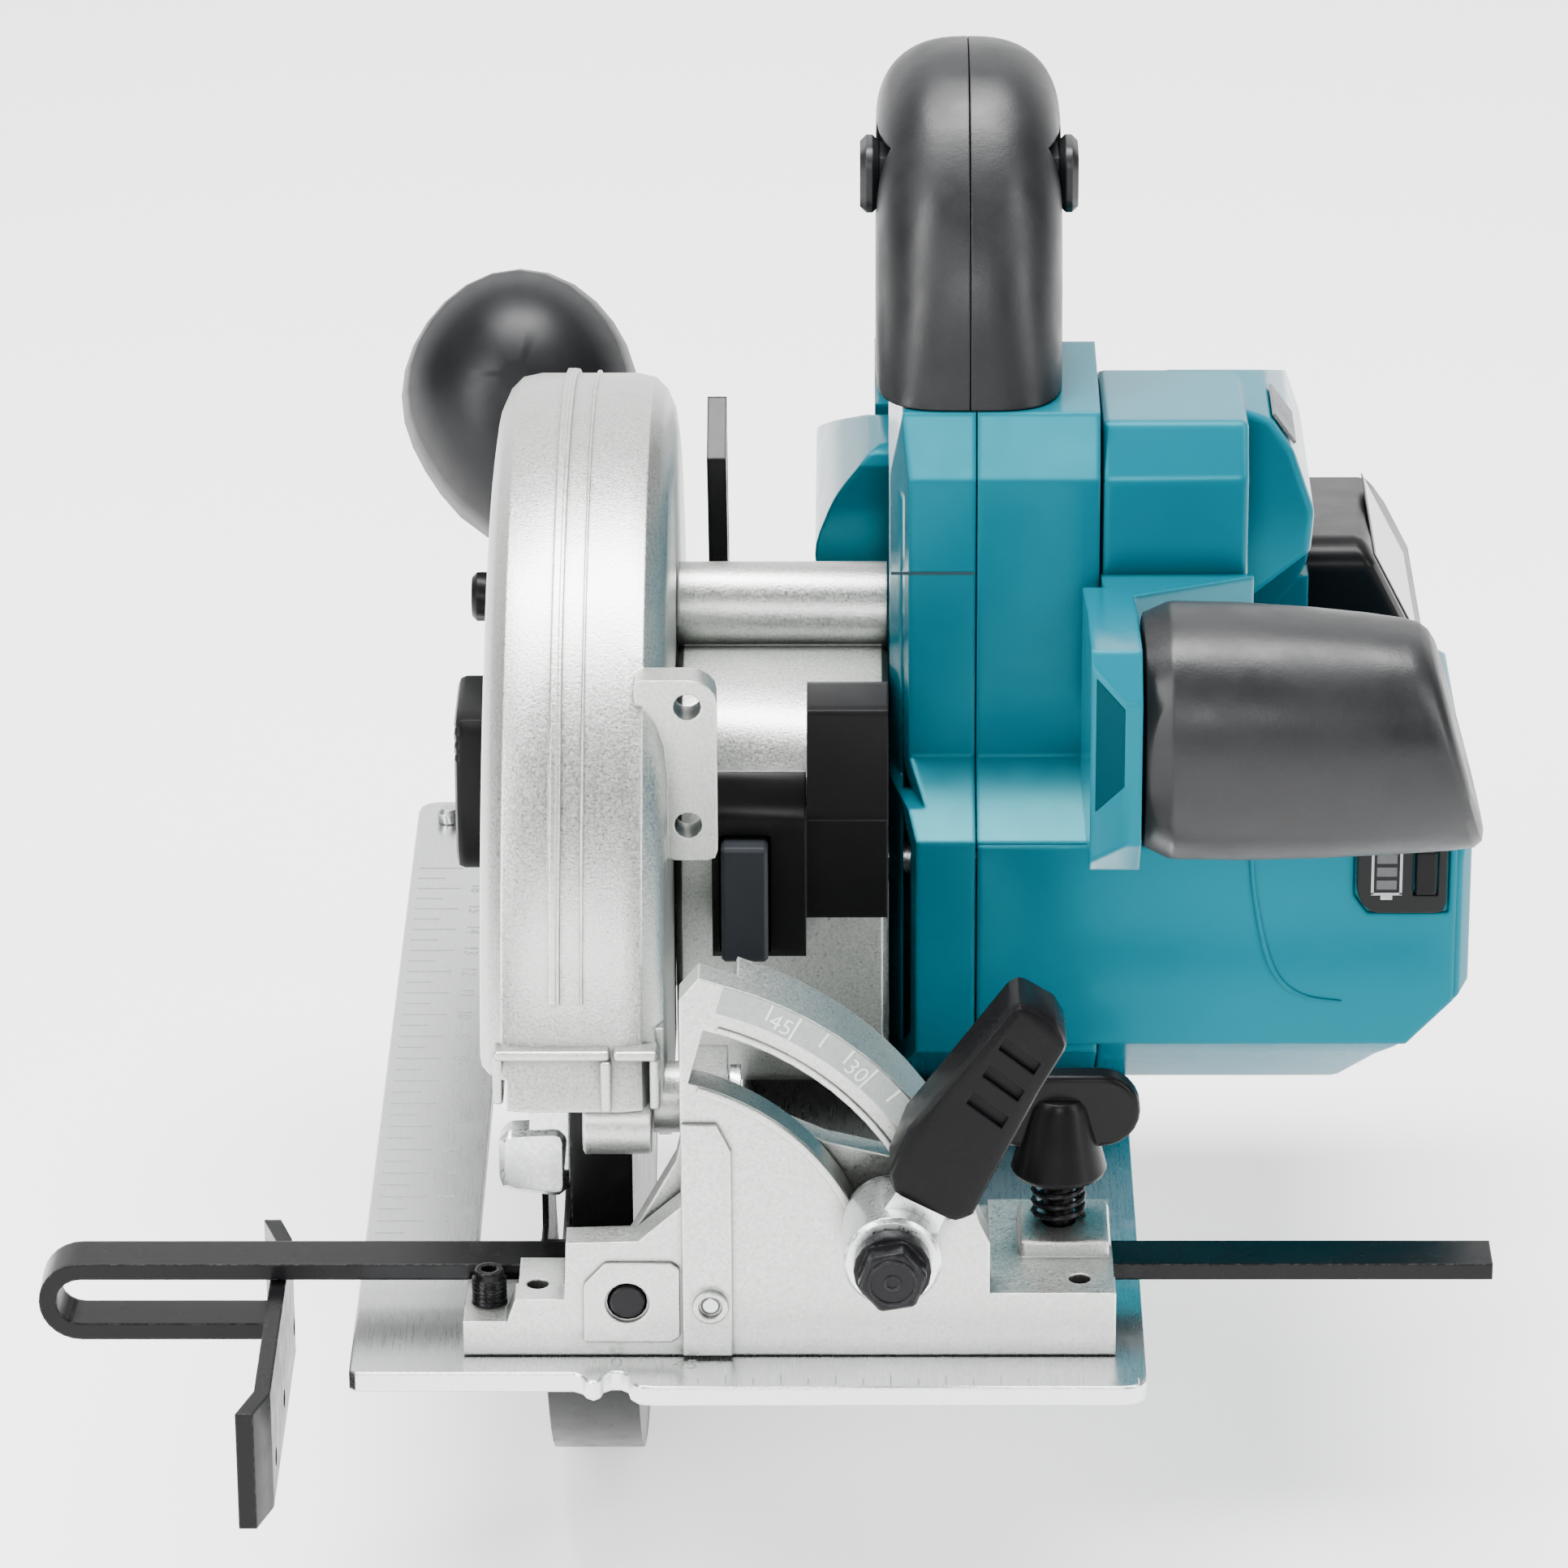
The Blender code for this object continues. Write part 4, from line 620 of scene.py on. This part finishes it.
def hand_grip():
    """The two soft halves of the D-shaped grip, split on their middle plane."""
    path = [
        (14.5, 145.2, 19.0),
        (14.5, 153.0, 18.2),
        (16.5, 163.0, 17.2),
        (22.5, 174.0, 16.6),
        (32.5, 182.5, 16.2),
        (44.0, 185.0, 16.0),
        (57.0, 181.5, 16.0),
        (71.0, 174.5, 16.0),
        (84.0, 165.0, 16.0),
        (95.0, 152.5, 16.4),
        (103.0, 138.0, 17.0),
        (108.0, 123.0, 18.0),
        (110.0, 109.6, 19.0),
    ]
    stations = spline(path, 5)
    foot_stations = 9
    for side, name in ((-1, "handle_left"), (1, "handle_right")):
        rings = []
        for index, (y, z, depth) in enumerate(stations):
            before = stations[max(index - 1, 0)]
            after = stations[min(index + 1, len(stations) - 1)]
            along = Vector((0.0, after.x - before.x, after.y - before.y)).normalized()
            outward = Vector((0.0, -along.z, along.y))
            ring = []
            for step in range(33):
                turn = math.pi * (step / 32 - 0.5)
                square = (0.78 if turn > 0 else 0.62) - 0.24 * max(0.0, 1.0 - index / foot_stations)
                across = math.copysign(abs(math.cos(turn)) ** square, math.cos(turn))
                out = math.copysign(abs(math.sin(turn)) ** (square + 0.12), math.sin(turn))
                reach = GRIP_GAP + across * (GRIP_HALF_WIDTH - GRIP_GAP)
                centre = Vector((GRIP_X + side * reach, y, z))
                ring.append(centre + outward * out * depth)
            rings.append(ring)
        half = piece(name + "_skin", skin(rings), "rubber", "head")
        low, high = sorted((GRIP_X + side * 14.6, GRIP_X + side * 30.0))
        cut(half, block(low, high, 22.0, 38.0, 172.2, 187.8))
        low, high = sorted((GRIP_X, GRIP_X + side * 7.8))
        cut(half, block(low - 0.5, high, 38.6, 73.0, 150.0, 181.0))
        shade(half)
        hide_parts(name)


def front_grip():
    """The rounded knob in front of the motor, with a rolled outer end that leans back."""
    sections = [
        (71.9, 20.0, 18.6, 0.0),
        (72.2, 21.0, 19.6, 0.0),
        (76.6, 22.9, 21.7, 0.0),
        (77.6, 23.1, 21.9, 0.0),
        (90.0, 23.1, 21.9, 0.02),
        (104.0, 22.5, 21.2, 0.06),
        (116.0, 21.7, 20.0, 0.13),
        (124.0, 21.0, 19.0, 0.22),
        (127.6, 20.4, 18.3, 0.27),
        (129.2, 19.2, 17.0, 0.28),
        (129.9, 17.4, 15.2, 0.28),
        (130.0, 12.0, 10.0, 0.28),
        (129.8, 3.0, 2.6, 0.28),
    ]
    rings = []
    for x, tall, deep, lean in sections:
        ring = []
        for step in range(64):
            turn = 2 * math.pi * step / 64
            across = math.copysign(abs(math.cos(turn)) ** 0.86, math.cos(turn))
            up = tall * math.copysign(abs(math.sin(turn)) ** 0.86, math.sin(turn))
            height = KNOB_Z - (x - KNOB_X) * KNOB_FALL + up
            ring.append((x - lean * up, KNOB_Y + deep * across, height))
        rings.append(ring)
    grip = piece("front_grip_skin", skin(rings), "rubber", "head")
    shade(grip)
    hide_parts("front_grip")


def ring_plate(bm, outer, inner, front, back):
    """A flat plate with a hole, in X and Z; outer and inner have equal numbers of points."""
    loops = [(outer, front), (inner, front), (inner, back), (outer, back)]
    made = [[bm.verts.new(Vector((x, y, z)) * MM) for x, z in loop] for loop, y in loops]
    count = len(outer)
    for index, ring in enumerate(made):
        following = made[(index + 1) % 4]
        for place in range(count):
            after = (place + 1) % count
            bm.faces.new((ring[place], following[place], following[after], ring[after]))


def round_points(x, z, radius, count=32):
    """Points round a circle."""
    steps = [2 * math.pi * index / count for index in range(count)]
    return [(x + radius * math.cos(turn), z + radius * math.sin(turn)) for turn in steps]


def plate(bm, outline, front, back):
    """A flat plate with an outline in X and Z."""
    rings = [[bm.verts.new(Vector((x, y, z)) * MM) for x, z in outline] for y in (front, back)]
    bm.faces.new(rings[0])
    bm.faces.new(rings[1])
    for index in range(len(outline)):
        after = (index + 1) % len(outline)
        bm.faces.new((rings[0][index], rings[0][after], rings[1][after], rings[1][index]))


def band(bm, radii, angles, front, back, steps=24):
    """A curved strip about the bevel axis, between two radii and two angles in degrees."""
    span = angles[1] - angles[0]
    turns = [math.radians(angles[0] + span * step / steps) for step in range(steps + 1)]
    sides = []
    for radius in radii:
        side = [(BEVEL_X + radius * math.cos(t), BEVEL_Z + radius * math.sin(t)) for t in turns]
        sides.append(side)
    plate(bm, sides[0] + sides[1][::-1], front, back)


def bracket_ribs():
    """Cast ribs on the quadrant bracket's front: column, pivot panel, rivet boss and slot lips."""
    bm = bmesh.new()
    column = [(-11.9, 4.5), (-2.8, 4.5), (-2.8, 46.0), (-5.4, 51.5), (-11.9, 51.5)]
    plate(bm, column, -119.1, BRACKET_FRONT)
    corner = [(-30.0, 7.2), (-12.4, 7.2), (-12.4, 23.4), (-26.0, 23.4), (-30.0, 19.0)]
    outer = []
    for x, z in round_points(BEVEL_X, BEVEL_Z, 20.0, 40):
        direction = Vector((x - BEVEL_X, z - BEVEL_Z)).normalized()
        reach = 20.0
        for index, start in enumerate(corner):
            edge = Vector(corner[(index + 1) % 5]) - Vector(start)
            normal = Vector((edge.y, -edge.x)).normalized()
            facing = normal.dot(direction)
            if facing > 1e-6:
                reach = min(reach, normal.dot(Vector(start) - Vector((BEVEL_X, BEVEL_Z))) / facing)
        outer.append((BEVEL_X + direction.x * reach, BEVEL_Z + direction.y * reach))
    ring_plate(bm, outer, round_points(BEVEL_X, BEVEL_Z, 4.0, 40), -118.9, BRACKET_FRONT)
    ring_plate(bm, round_points(-6.8, 15.0, 3.3), round_points(-6.8, 15.0, 2.1), -120.4, -119.0)
    band(bm, (44.0, 45.5), (14.5, 73.0), -118.6, BRACKET_FRONT)
    band(bm, (56.8, 58.0), (14.5, 73.0), -118.5, BRACKET_FRONT)
    ribs = piece("bracket_ribs", bm, "cast", "base")
    soft_edges(ribs, 0.35, 2)
    shade(ribs)
    bm = bmesh.new()
    band(bm, (60.6, 65.7), (16.0, 74.0), -118.25, BRACKET_FRONT)
    piece("scale_band", bm, "scale_band", "base")


def case_castings():
    """Hinge barrel, pocket ribs and flange at the foot of the blade case."""
    rings = []
    for x, radius in ((-30.2, 5.6), (-29.8, 6.3), (-17.9, 6.3), (-17.6, 5.8)):
        rings.append([(x, y, z) for y, z in round_points(SHAFT_Y, SHAFT_Z, radius, 40)])
    barrel = piece("hinge_barrel", skin(rings), "cast", "head")
    shade(barrel)
    bm = bmesh.new()
    for centre, width, height, thick in (
        ((-35.6, -100.2, 57.4), 21.0, 1.9, 6.0),
        ((-25.8, -101.4, 51.4), 2.0, 10.2, 5.0),
        ((-45.6, -96.6, 51.6), 1.9, 9.8, 9.0),
        ((-20.4, -100.8, 57.4), 8.0, 1.9, 5.0),
        ((-16.9, -99.0, 51.6), 1.9, 10.0, 8.0),
    ):
        add_bar(bm, centre, RIGHT, UP, width, height, thick)
    ribs = piece("case_ribs", bm, "cast", "head")
    soft_edges(ribs, 0.6, 3)
    shade(ribs)


def bolt_face():
    """The turned ring and dimple on the bevel bolt's head."""
    bm = bmesh.new()
    for outer, inner, front in ((4.6, 3.9, -144.25), (1.6, 0.9, -144.2)):
        rings = [round_points(BOLT_X, BOLT_Z, radius) for radius in (outer, inner)]
        ring_plate(bm, *rings, front, -143.9)
    face = piece("bolt_face", bm, "bolt_steel", "bevel_frame")
    soft_edges(face, 0.1, 1)


def stop_threads():
    """The thread that shows on the zero-stop screw."""
    core, crest, pitch, low, turns = 2.75, 3.25, 0.9, 9.8, 7
    profile = []
    for turn in range(turns):
        profile += [(core, low + pitch * turn), (crest, low + pitch * (turn + 0.5))]
    profile.append((core, low + pitch * turns))
    rings = []
    for radius, z in profile:
        rings.append([(x, y, z) for x, y in round_points(STOP_X, STOP_Y, radius, 24)])
    piece("stop_threads", skin(rings), "black_steel", "base")


def case_beads():
    """The raised band and fine rib round the blade case's rim."""
    bm = bmesh.new()
    for low, high, lift in ((-35.2, -34.0, 113.7), (-30.6, -29.8, 113.4)):
        rings = []
        for step in range(64):
            turn = math.radians(22.0 + 138.0 * step / 63)
            ring = []
            rise, fall = (low + 0.2, lift), (high - 0.2, lift)
            for x, radius in ((low, CASE_RADIUS), rise, fall, (high, CASE_RADIUS)):
                y, z = BLADE_Y + radius * math.cos(turn), BLADE_Z + radius * math.sin(turn)
                ring.append((x, y, z))
            rings.append(ring)
        strip = skin(rings)
        mesh = bpy.data.meshes.new("bead")
        strip.to_mesh(mesh)
        strip.free()
        bm.from_mesh(mesh)
        bpy.data.meshes.remove(mesh)
    beads = piece("case_beads", bm, "cast", "head")
    shade(beads)


def wing_knob():
    """Clamp screw with a flared hub and a flat wing with full-round ends."""
    profile = [
        (2.7, 14.2),
        (2.7, 30.4),
        (8.4, 30.4),
        (8.8, 31.2),
        (8.5, 32.4),
        (5.6, 44.0),
        (4.6, 45.6),
        (0.4, 46.2),
    ]
    rings = []
    for radius, z in profile:
        rings.append([(x, y, z) for x, y in round_points(CLAMP_X, CLAMP_Y, radius, 48)])
    knob = piece("wing_knob", skin(rings), "black", "clamp_screw")
    end_offset, end_radius, end_height = 7.6, 7.2, 43.2
    outline = []
    for side in (1, -1):
        for step in range(13):
            turn = math.radians(90.0 - 180.0 * step / 12)
            x = CLAMP_X + side * (end_offset + end_radius * math.cos(turn))
            outline.append((x, end_height + side * end_radius * math.sin(turn)))
    bm = bmesh.new()
    plate(bm, outline, -97.3, -92.1)
    wing = piece("wing_blade", bm, "black", "clamp_screw")
    soft_edges(wing, 1.2, 3)
    cut(knob, solid_copy(wing), "UNION")
    bpy.data.objects.remove(wing)
    shade(knob)
    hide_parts("wing_screw")


def housing_seam():
    """The line across the front of the left body shell."""
    bm = bmesh.new()
    add_bar(bm, (34.3, -10.02, 114.0), RIGHT, UP, 15.8, 0.6, 0.16)
    piece("housing_seam", bm, "seam", "head")


def front_face():
    """The one-piece lower front of the housing, open round the charge gauge, and its ridge."""
    outline = [
        (42.75, 23.6),
        (125.2, 23.6),
        (134.1, 33.0),
        (134.1, 65.6),
        (132.4, 65.6),
        (132.4, 51.6),
        (117.2, 51.6),
        (114.6, 55.4),
        (114.6, 65.6),
        (42.75, 65.6),
    ]
    bm = bmesh.new()
    plate(bm, outline, -28.55, -27.6)
    face = piece("front_face", bm, "teal", "head")
    soft_edges(face, 0.45, 3)
    bend = [(94.1, 66.0), (95.1, 55.3), (97.4, 43.7), (100.4, 37.1), (105.0, 33.8), (112.0, 32.6)]
    curve = spline(bend, 5)
    outer = [(point.x, point.y) for point in curve]
    inner = [(point.x + 0.9, point.y + 0.5) for point in curve]
    bm = bmesh.new()
    plate(bm, outer + inner[::-1], -29.0, -28.0)
    ridge = piece("motor_ridge", bm, "teal", "head")
    soft_edges(ridge, 0.3, 2)


def arm_recess():
    """A dark teal panel on the slanted front corner of the front grip's arm: painted shade in place
    of a recess.
    """
    along = Vector((6.8, -5.4, 0.0)).normalized()
    inward = Vector((5.4, 6.8, 0.0)).normalized()
    place = Matrix((along, inward, UP)).transposed().to_4x4()
    place.translation = Vector((62.2, -86.0, 0.0)) * MM
    bm = bmesh.new()
    plate(bm, [(1.2, 98.8), (7.7, 105.6), (7.7, 120.8), (1.2, 125.2)], -0.12, 0.3)
    bm.transform(place)
    panel = piece("arm_recess", bm, "shade_teal", "head")
    soft_edges(panel, 0.1, 1)


def battery_label():
    """The plain label on the pack's slanted shoulder, in a dark glossy frame."""
    slope = Vector((14.2, 0.0, -28.0)).normalized()
    out = Vector((28.0, 0.0, 14.2)).normalized()
    middle = Vector((128.5, 96.0, 74.0))
    frame_bm, face_bm = bmesh.new(), bmesh.new()
    add_bar(frame_bm, middle + out * 0.10, BACK, -slope, 44.0, 21.0, 0.20)
    add_bar(face_bm, middle + out * 0.24, BACK, -slope, 41.6, 18.6, 0.16)
    label_frame = piece("battery_label_frame", frame_bm, "black", "battery_pack")
    soft_edges(label_frame, 0.08, 1)
    piece("battery_label", face_bm, "ink_white", "battery_pack")


def base_scales():
    """Raised centimetre scale on the left strip, figures 0 to 16, and the front edge's scale."""
    ticks, figures = bmesh.new(), bmesh.new()
    thick = 0.10
    for step in range(37):
        y = -84.0 + 5.0 * step
        length = 9.0 if step % 2 == 0 else 5.5
        add_bar(ticks, (-71.0 + length / 2, y, BASE_TOP), RIGHT, BACK, length, 0.35, thick)
    for number in range(17):
        spot = (-58.6, -74.0 + 10.0 * number, BASE_TOP)
        add_text(figures, str(number), 3.0, spot, (0, -1, 0), RIGHT, thick)
    for step in range(18):
        x = -14.0 + 5.0 * step
        length = 3.6 if step % 2 == 0 else 2.4
        add_bar(ticks, (x, -129.0 + length / 2, BASE_TOP), BACK, (-1, 0, 0), length, 0.3, thick)
    add_text(figures, "0", 3.6, (-24.0, -120.6, BASE_TOP), RIGHT, BACK, thick)
    add_text(figures, "45", 3.6, (-11.5, -121.4, BASE_TOP), RIGHT, BACK, thick)
    piece("base_scale_lines", ticks, "mark", "base")
    piece("base_scale_figures", figures, "mark", "base")


def quadrant_scale():
    """Degree marks every five degrees on the quadrant's rim, with the figures 30 and 45."""
    ticks, figures = bmesh.new(), bmesh.new()
    centre = Vector((BEVEL_X, -118.28, BEVEL_Z))

    def directions(degree):
        turn = math.radians(QUADRANT_ZERO_DEGREES + degree)
        out = Vector((math.cos(turn), 0.0, math.sin(turn)))
        return out, Vector((-math.sin(turn), 0.0, math.cos(turn)))

    for degree in range(0, 51, 5):
        out, across = directions(degree)
        inner, outer = (60.7 if degree % 15 == 0 else 62.4), 65.6
        middle = centre + out * (inner + outer) / 2
        add_bar(ticks, middle, -across, out, 0.45, outer - inner, 0.20)
    for degree in (30, 45):
        out, across = directions(degree)
        spot = centre + out * 62.6
        add_text(figures, str(degree), 3.2, spot + across * 2.6, -across, out, 0.2)
    piece("quadrant_scale_lines", ticks, "ink_white", "base")
    piece("quadrant_scale_figures", figures, "ink_white", "base")


def charge_icon():
    """Outline of a battery with three bars, printed on the gauge panel."""
    bm = bmesh.new()
    x, y, z = 120.6, -29.62, 60.6
    for width, height, dx, dz in (
        (0.5, 9.4, -2.7, 0.0),
        (0.5, 9.4, 2.7, 0.0),
        (5.9, 0.5, 0.0, 4.6),
        (5.9, 0.5, 0.0, -4.6),
        (2.2, 1.0, 0.0, -5.3),
    ):
        add_bar(bm, (x + dx, y, z + dz), RIGHT, UP, width, height, 0.1)
    piece("charge_icon", bm, "silver_print", "head")
    bars = bmesh.new()
    for bar in range(3):
        add_bar(bars, (x, y, z - 2.7 + 2.7 * bar), RIGHT, UP, 3.8, 1.9, 0.1)
    piece("charge_bars", bars, "ink_grey", "head")


# ---------------------------------------------------------------- stage, light and camera


def sweep():
    """A pale floor that turns up into a backdrop far behind."""
    low = (cad_box[0][2] / MM) - 1.2
    near, bend, radius, height, half_width = -3000.0, 1500.0, 900.0, 3200.0, 4000.0
    profile = [(near, low), (bend, low)]
    for step in range(1, 13):
        turn = math.radians(90.0 * step / 12)
        profile.append((bend + radius * math.sin(turn), low + radius * (1 - math.cos(turn))))
    profile.append((bend + radius, low + height))
    bm = bmesh.new()
    rows = []
    for x in (-half_width, half_width):
        rows.append([bm.verts.new(Vector((x, y, z)) * MM) for y, z in profile])
    for index in range(len(profile) - 1):
        bm.faces.new((rows[0][index], rows[1][index], rows[1][index + 1], rows[0][index + 1]))
    mesh = bpy.data.meshes.new("floor")
    bm.to_mesh(mesh)
    bm.free()
    for face in mesh.polygons:
        face.use_smooth = True
    obj = bpy.data.objects.new("floor", mesh)
    bpy.context.scene.collection.objects.link(obj)
    graph = Graph("paper")
    graph.colour(graph.mix(graph.noise(0.4), (0.93, 0.93, 0.93), (0.95, 0.95, 0.95)))
    graph.rough(graph.spread(graph.noise(0.1), 0.85, 0.95))
    graph.set(Emission_Color=(1.0, 1.0, 1.0), Emission_Strength=0.75)
    mesh.materials.append(graph.material)


def soft_light(name, place, aim, size, power):
    """A softbox in metres and watts, turned toward a point."""
    light = bpy.data.lights.new(name, "AREA")
    light.shape = "RECTANGLE"
    light.size, light.size_y = size
    light.energy = power
    obj = bpy.data.objects.new(name, light)
    bpy.context.scene.collection.objects.link(obj)
    obj.location = place
    obj.rotation_euler = (Vector(aim) - Vector(place)).to_track_quat("-Z", "Y").to_euler()


def studio():
    """A dim room with four softboxes: above, at both sides and in front."""
    world = bpy.data.worlds.new("studio")
    world.use_nodes = True
    background = world.node_tree.nodes["Background"]
    background.inputs["Color"].default_value = (1.0, 1.0, 1.0, 1.0)
    background.inputs["Strength"].default_value = 0.10
    bpy.context.scene.world = world
    middle = (0.02, 0.0, 0.07)
    strip, sheet = (0.16, 1.5), (1.2, 0.5)
    soft_light("top", (0.0, 0.22, 1.5), middle, sheet, 72.0)
    soft_light("left", (-1.15, -0.85, 0.75), middle, strip, 36.0)
    soft_light("right", (1.25, -0.70, 0.75), middle, strip, 20.0)
    soft_light("front", (-0.10, -2.3, 1.10), middle, (0.9, 0.5), 30.0)


def camera():
    """The view from the front and above, in metres, millimetres of lens and degrees."""
    lens, place = 178.47, (0.0202, -1.3726, 0.677)
    heading, tilt, roll = 0.6, 66.0, -0.3
    data = bpy.data.cameras.new("camera")
    data.sensor_width = 36.0
    data.lens = lens
    data.clip_end = 20.0
    obj = bpy.data.objects.new("camera", data)
    bpy.context.scene.collection.objects.link(obj)
    obj.location = place
    turns = ((heading, "Z"), (tilt, "X"), (roll, "Z"))
    first, second, third = [Matrix.Rotation(math.radians(turn), 4, axis) for turn, axis in turns]
    obj.rotation_euler = (first @ second @ third).to_euler()
    bpy.context.scene.camera = obj


finish_cad()
hand_grip()
front_grip()
battery_label()
bracket_ribs()
bolt_face()
case_castings()
case_beads()
wing_knob()
stop_threads()
housing_seam()
front_face()
arm_recess()
base_scales()
quadrant_scale()
charge_icon()
sweep()
studio()
camera()
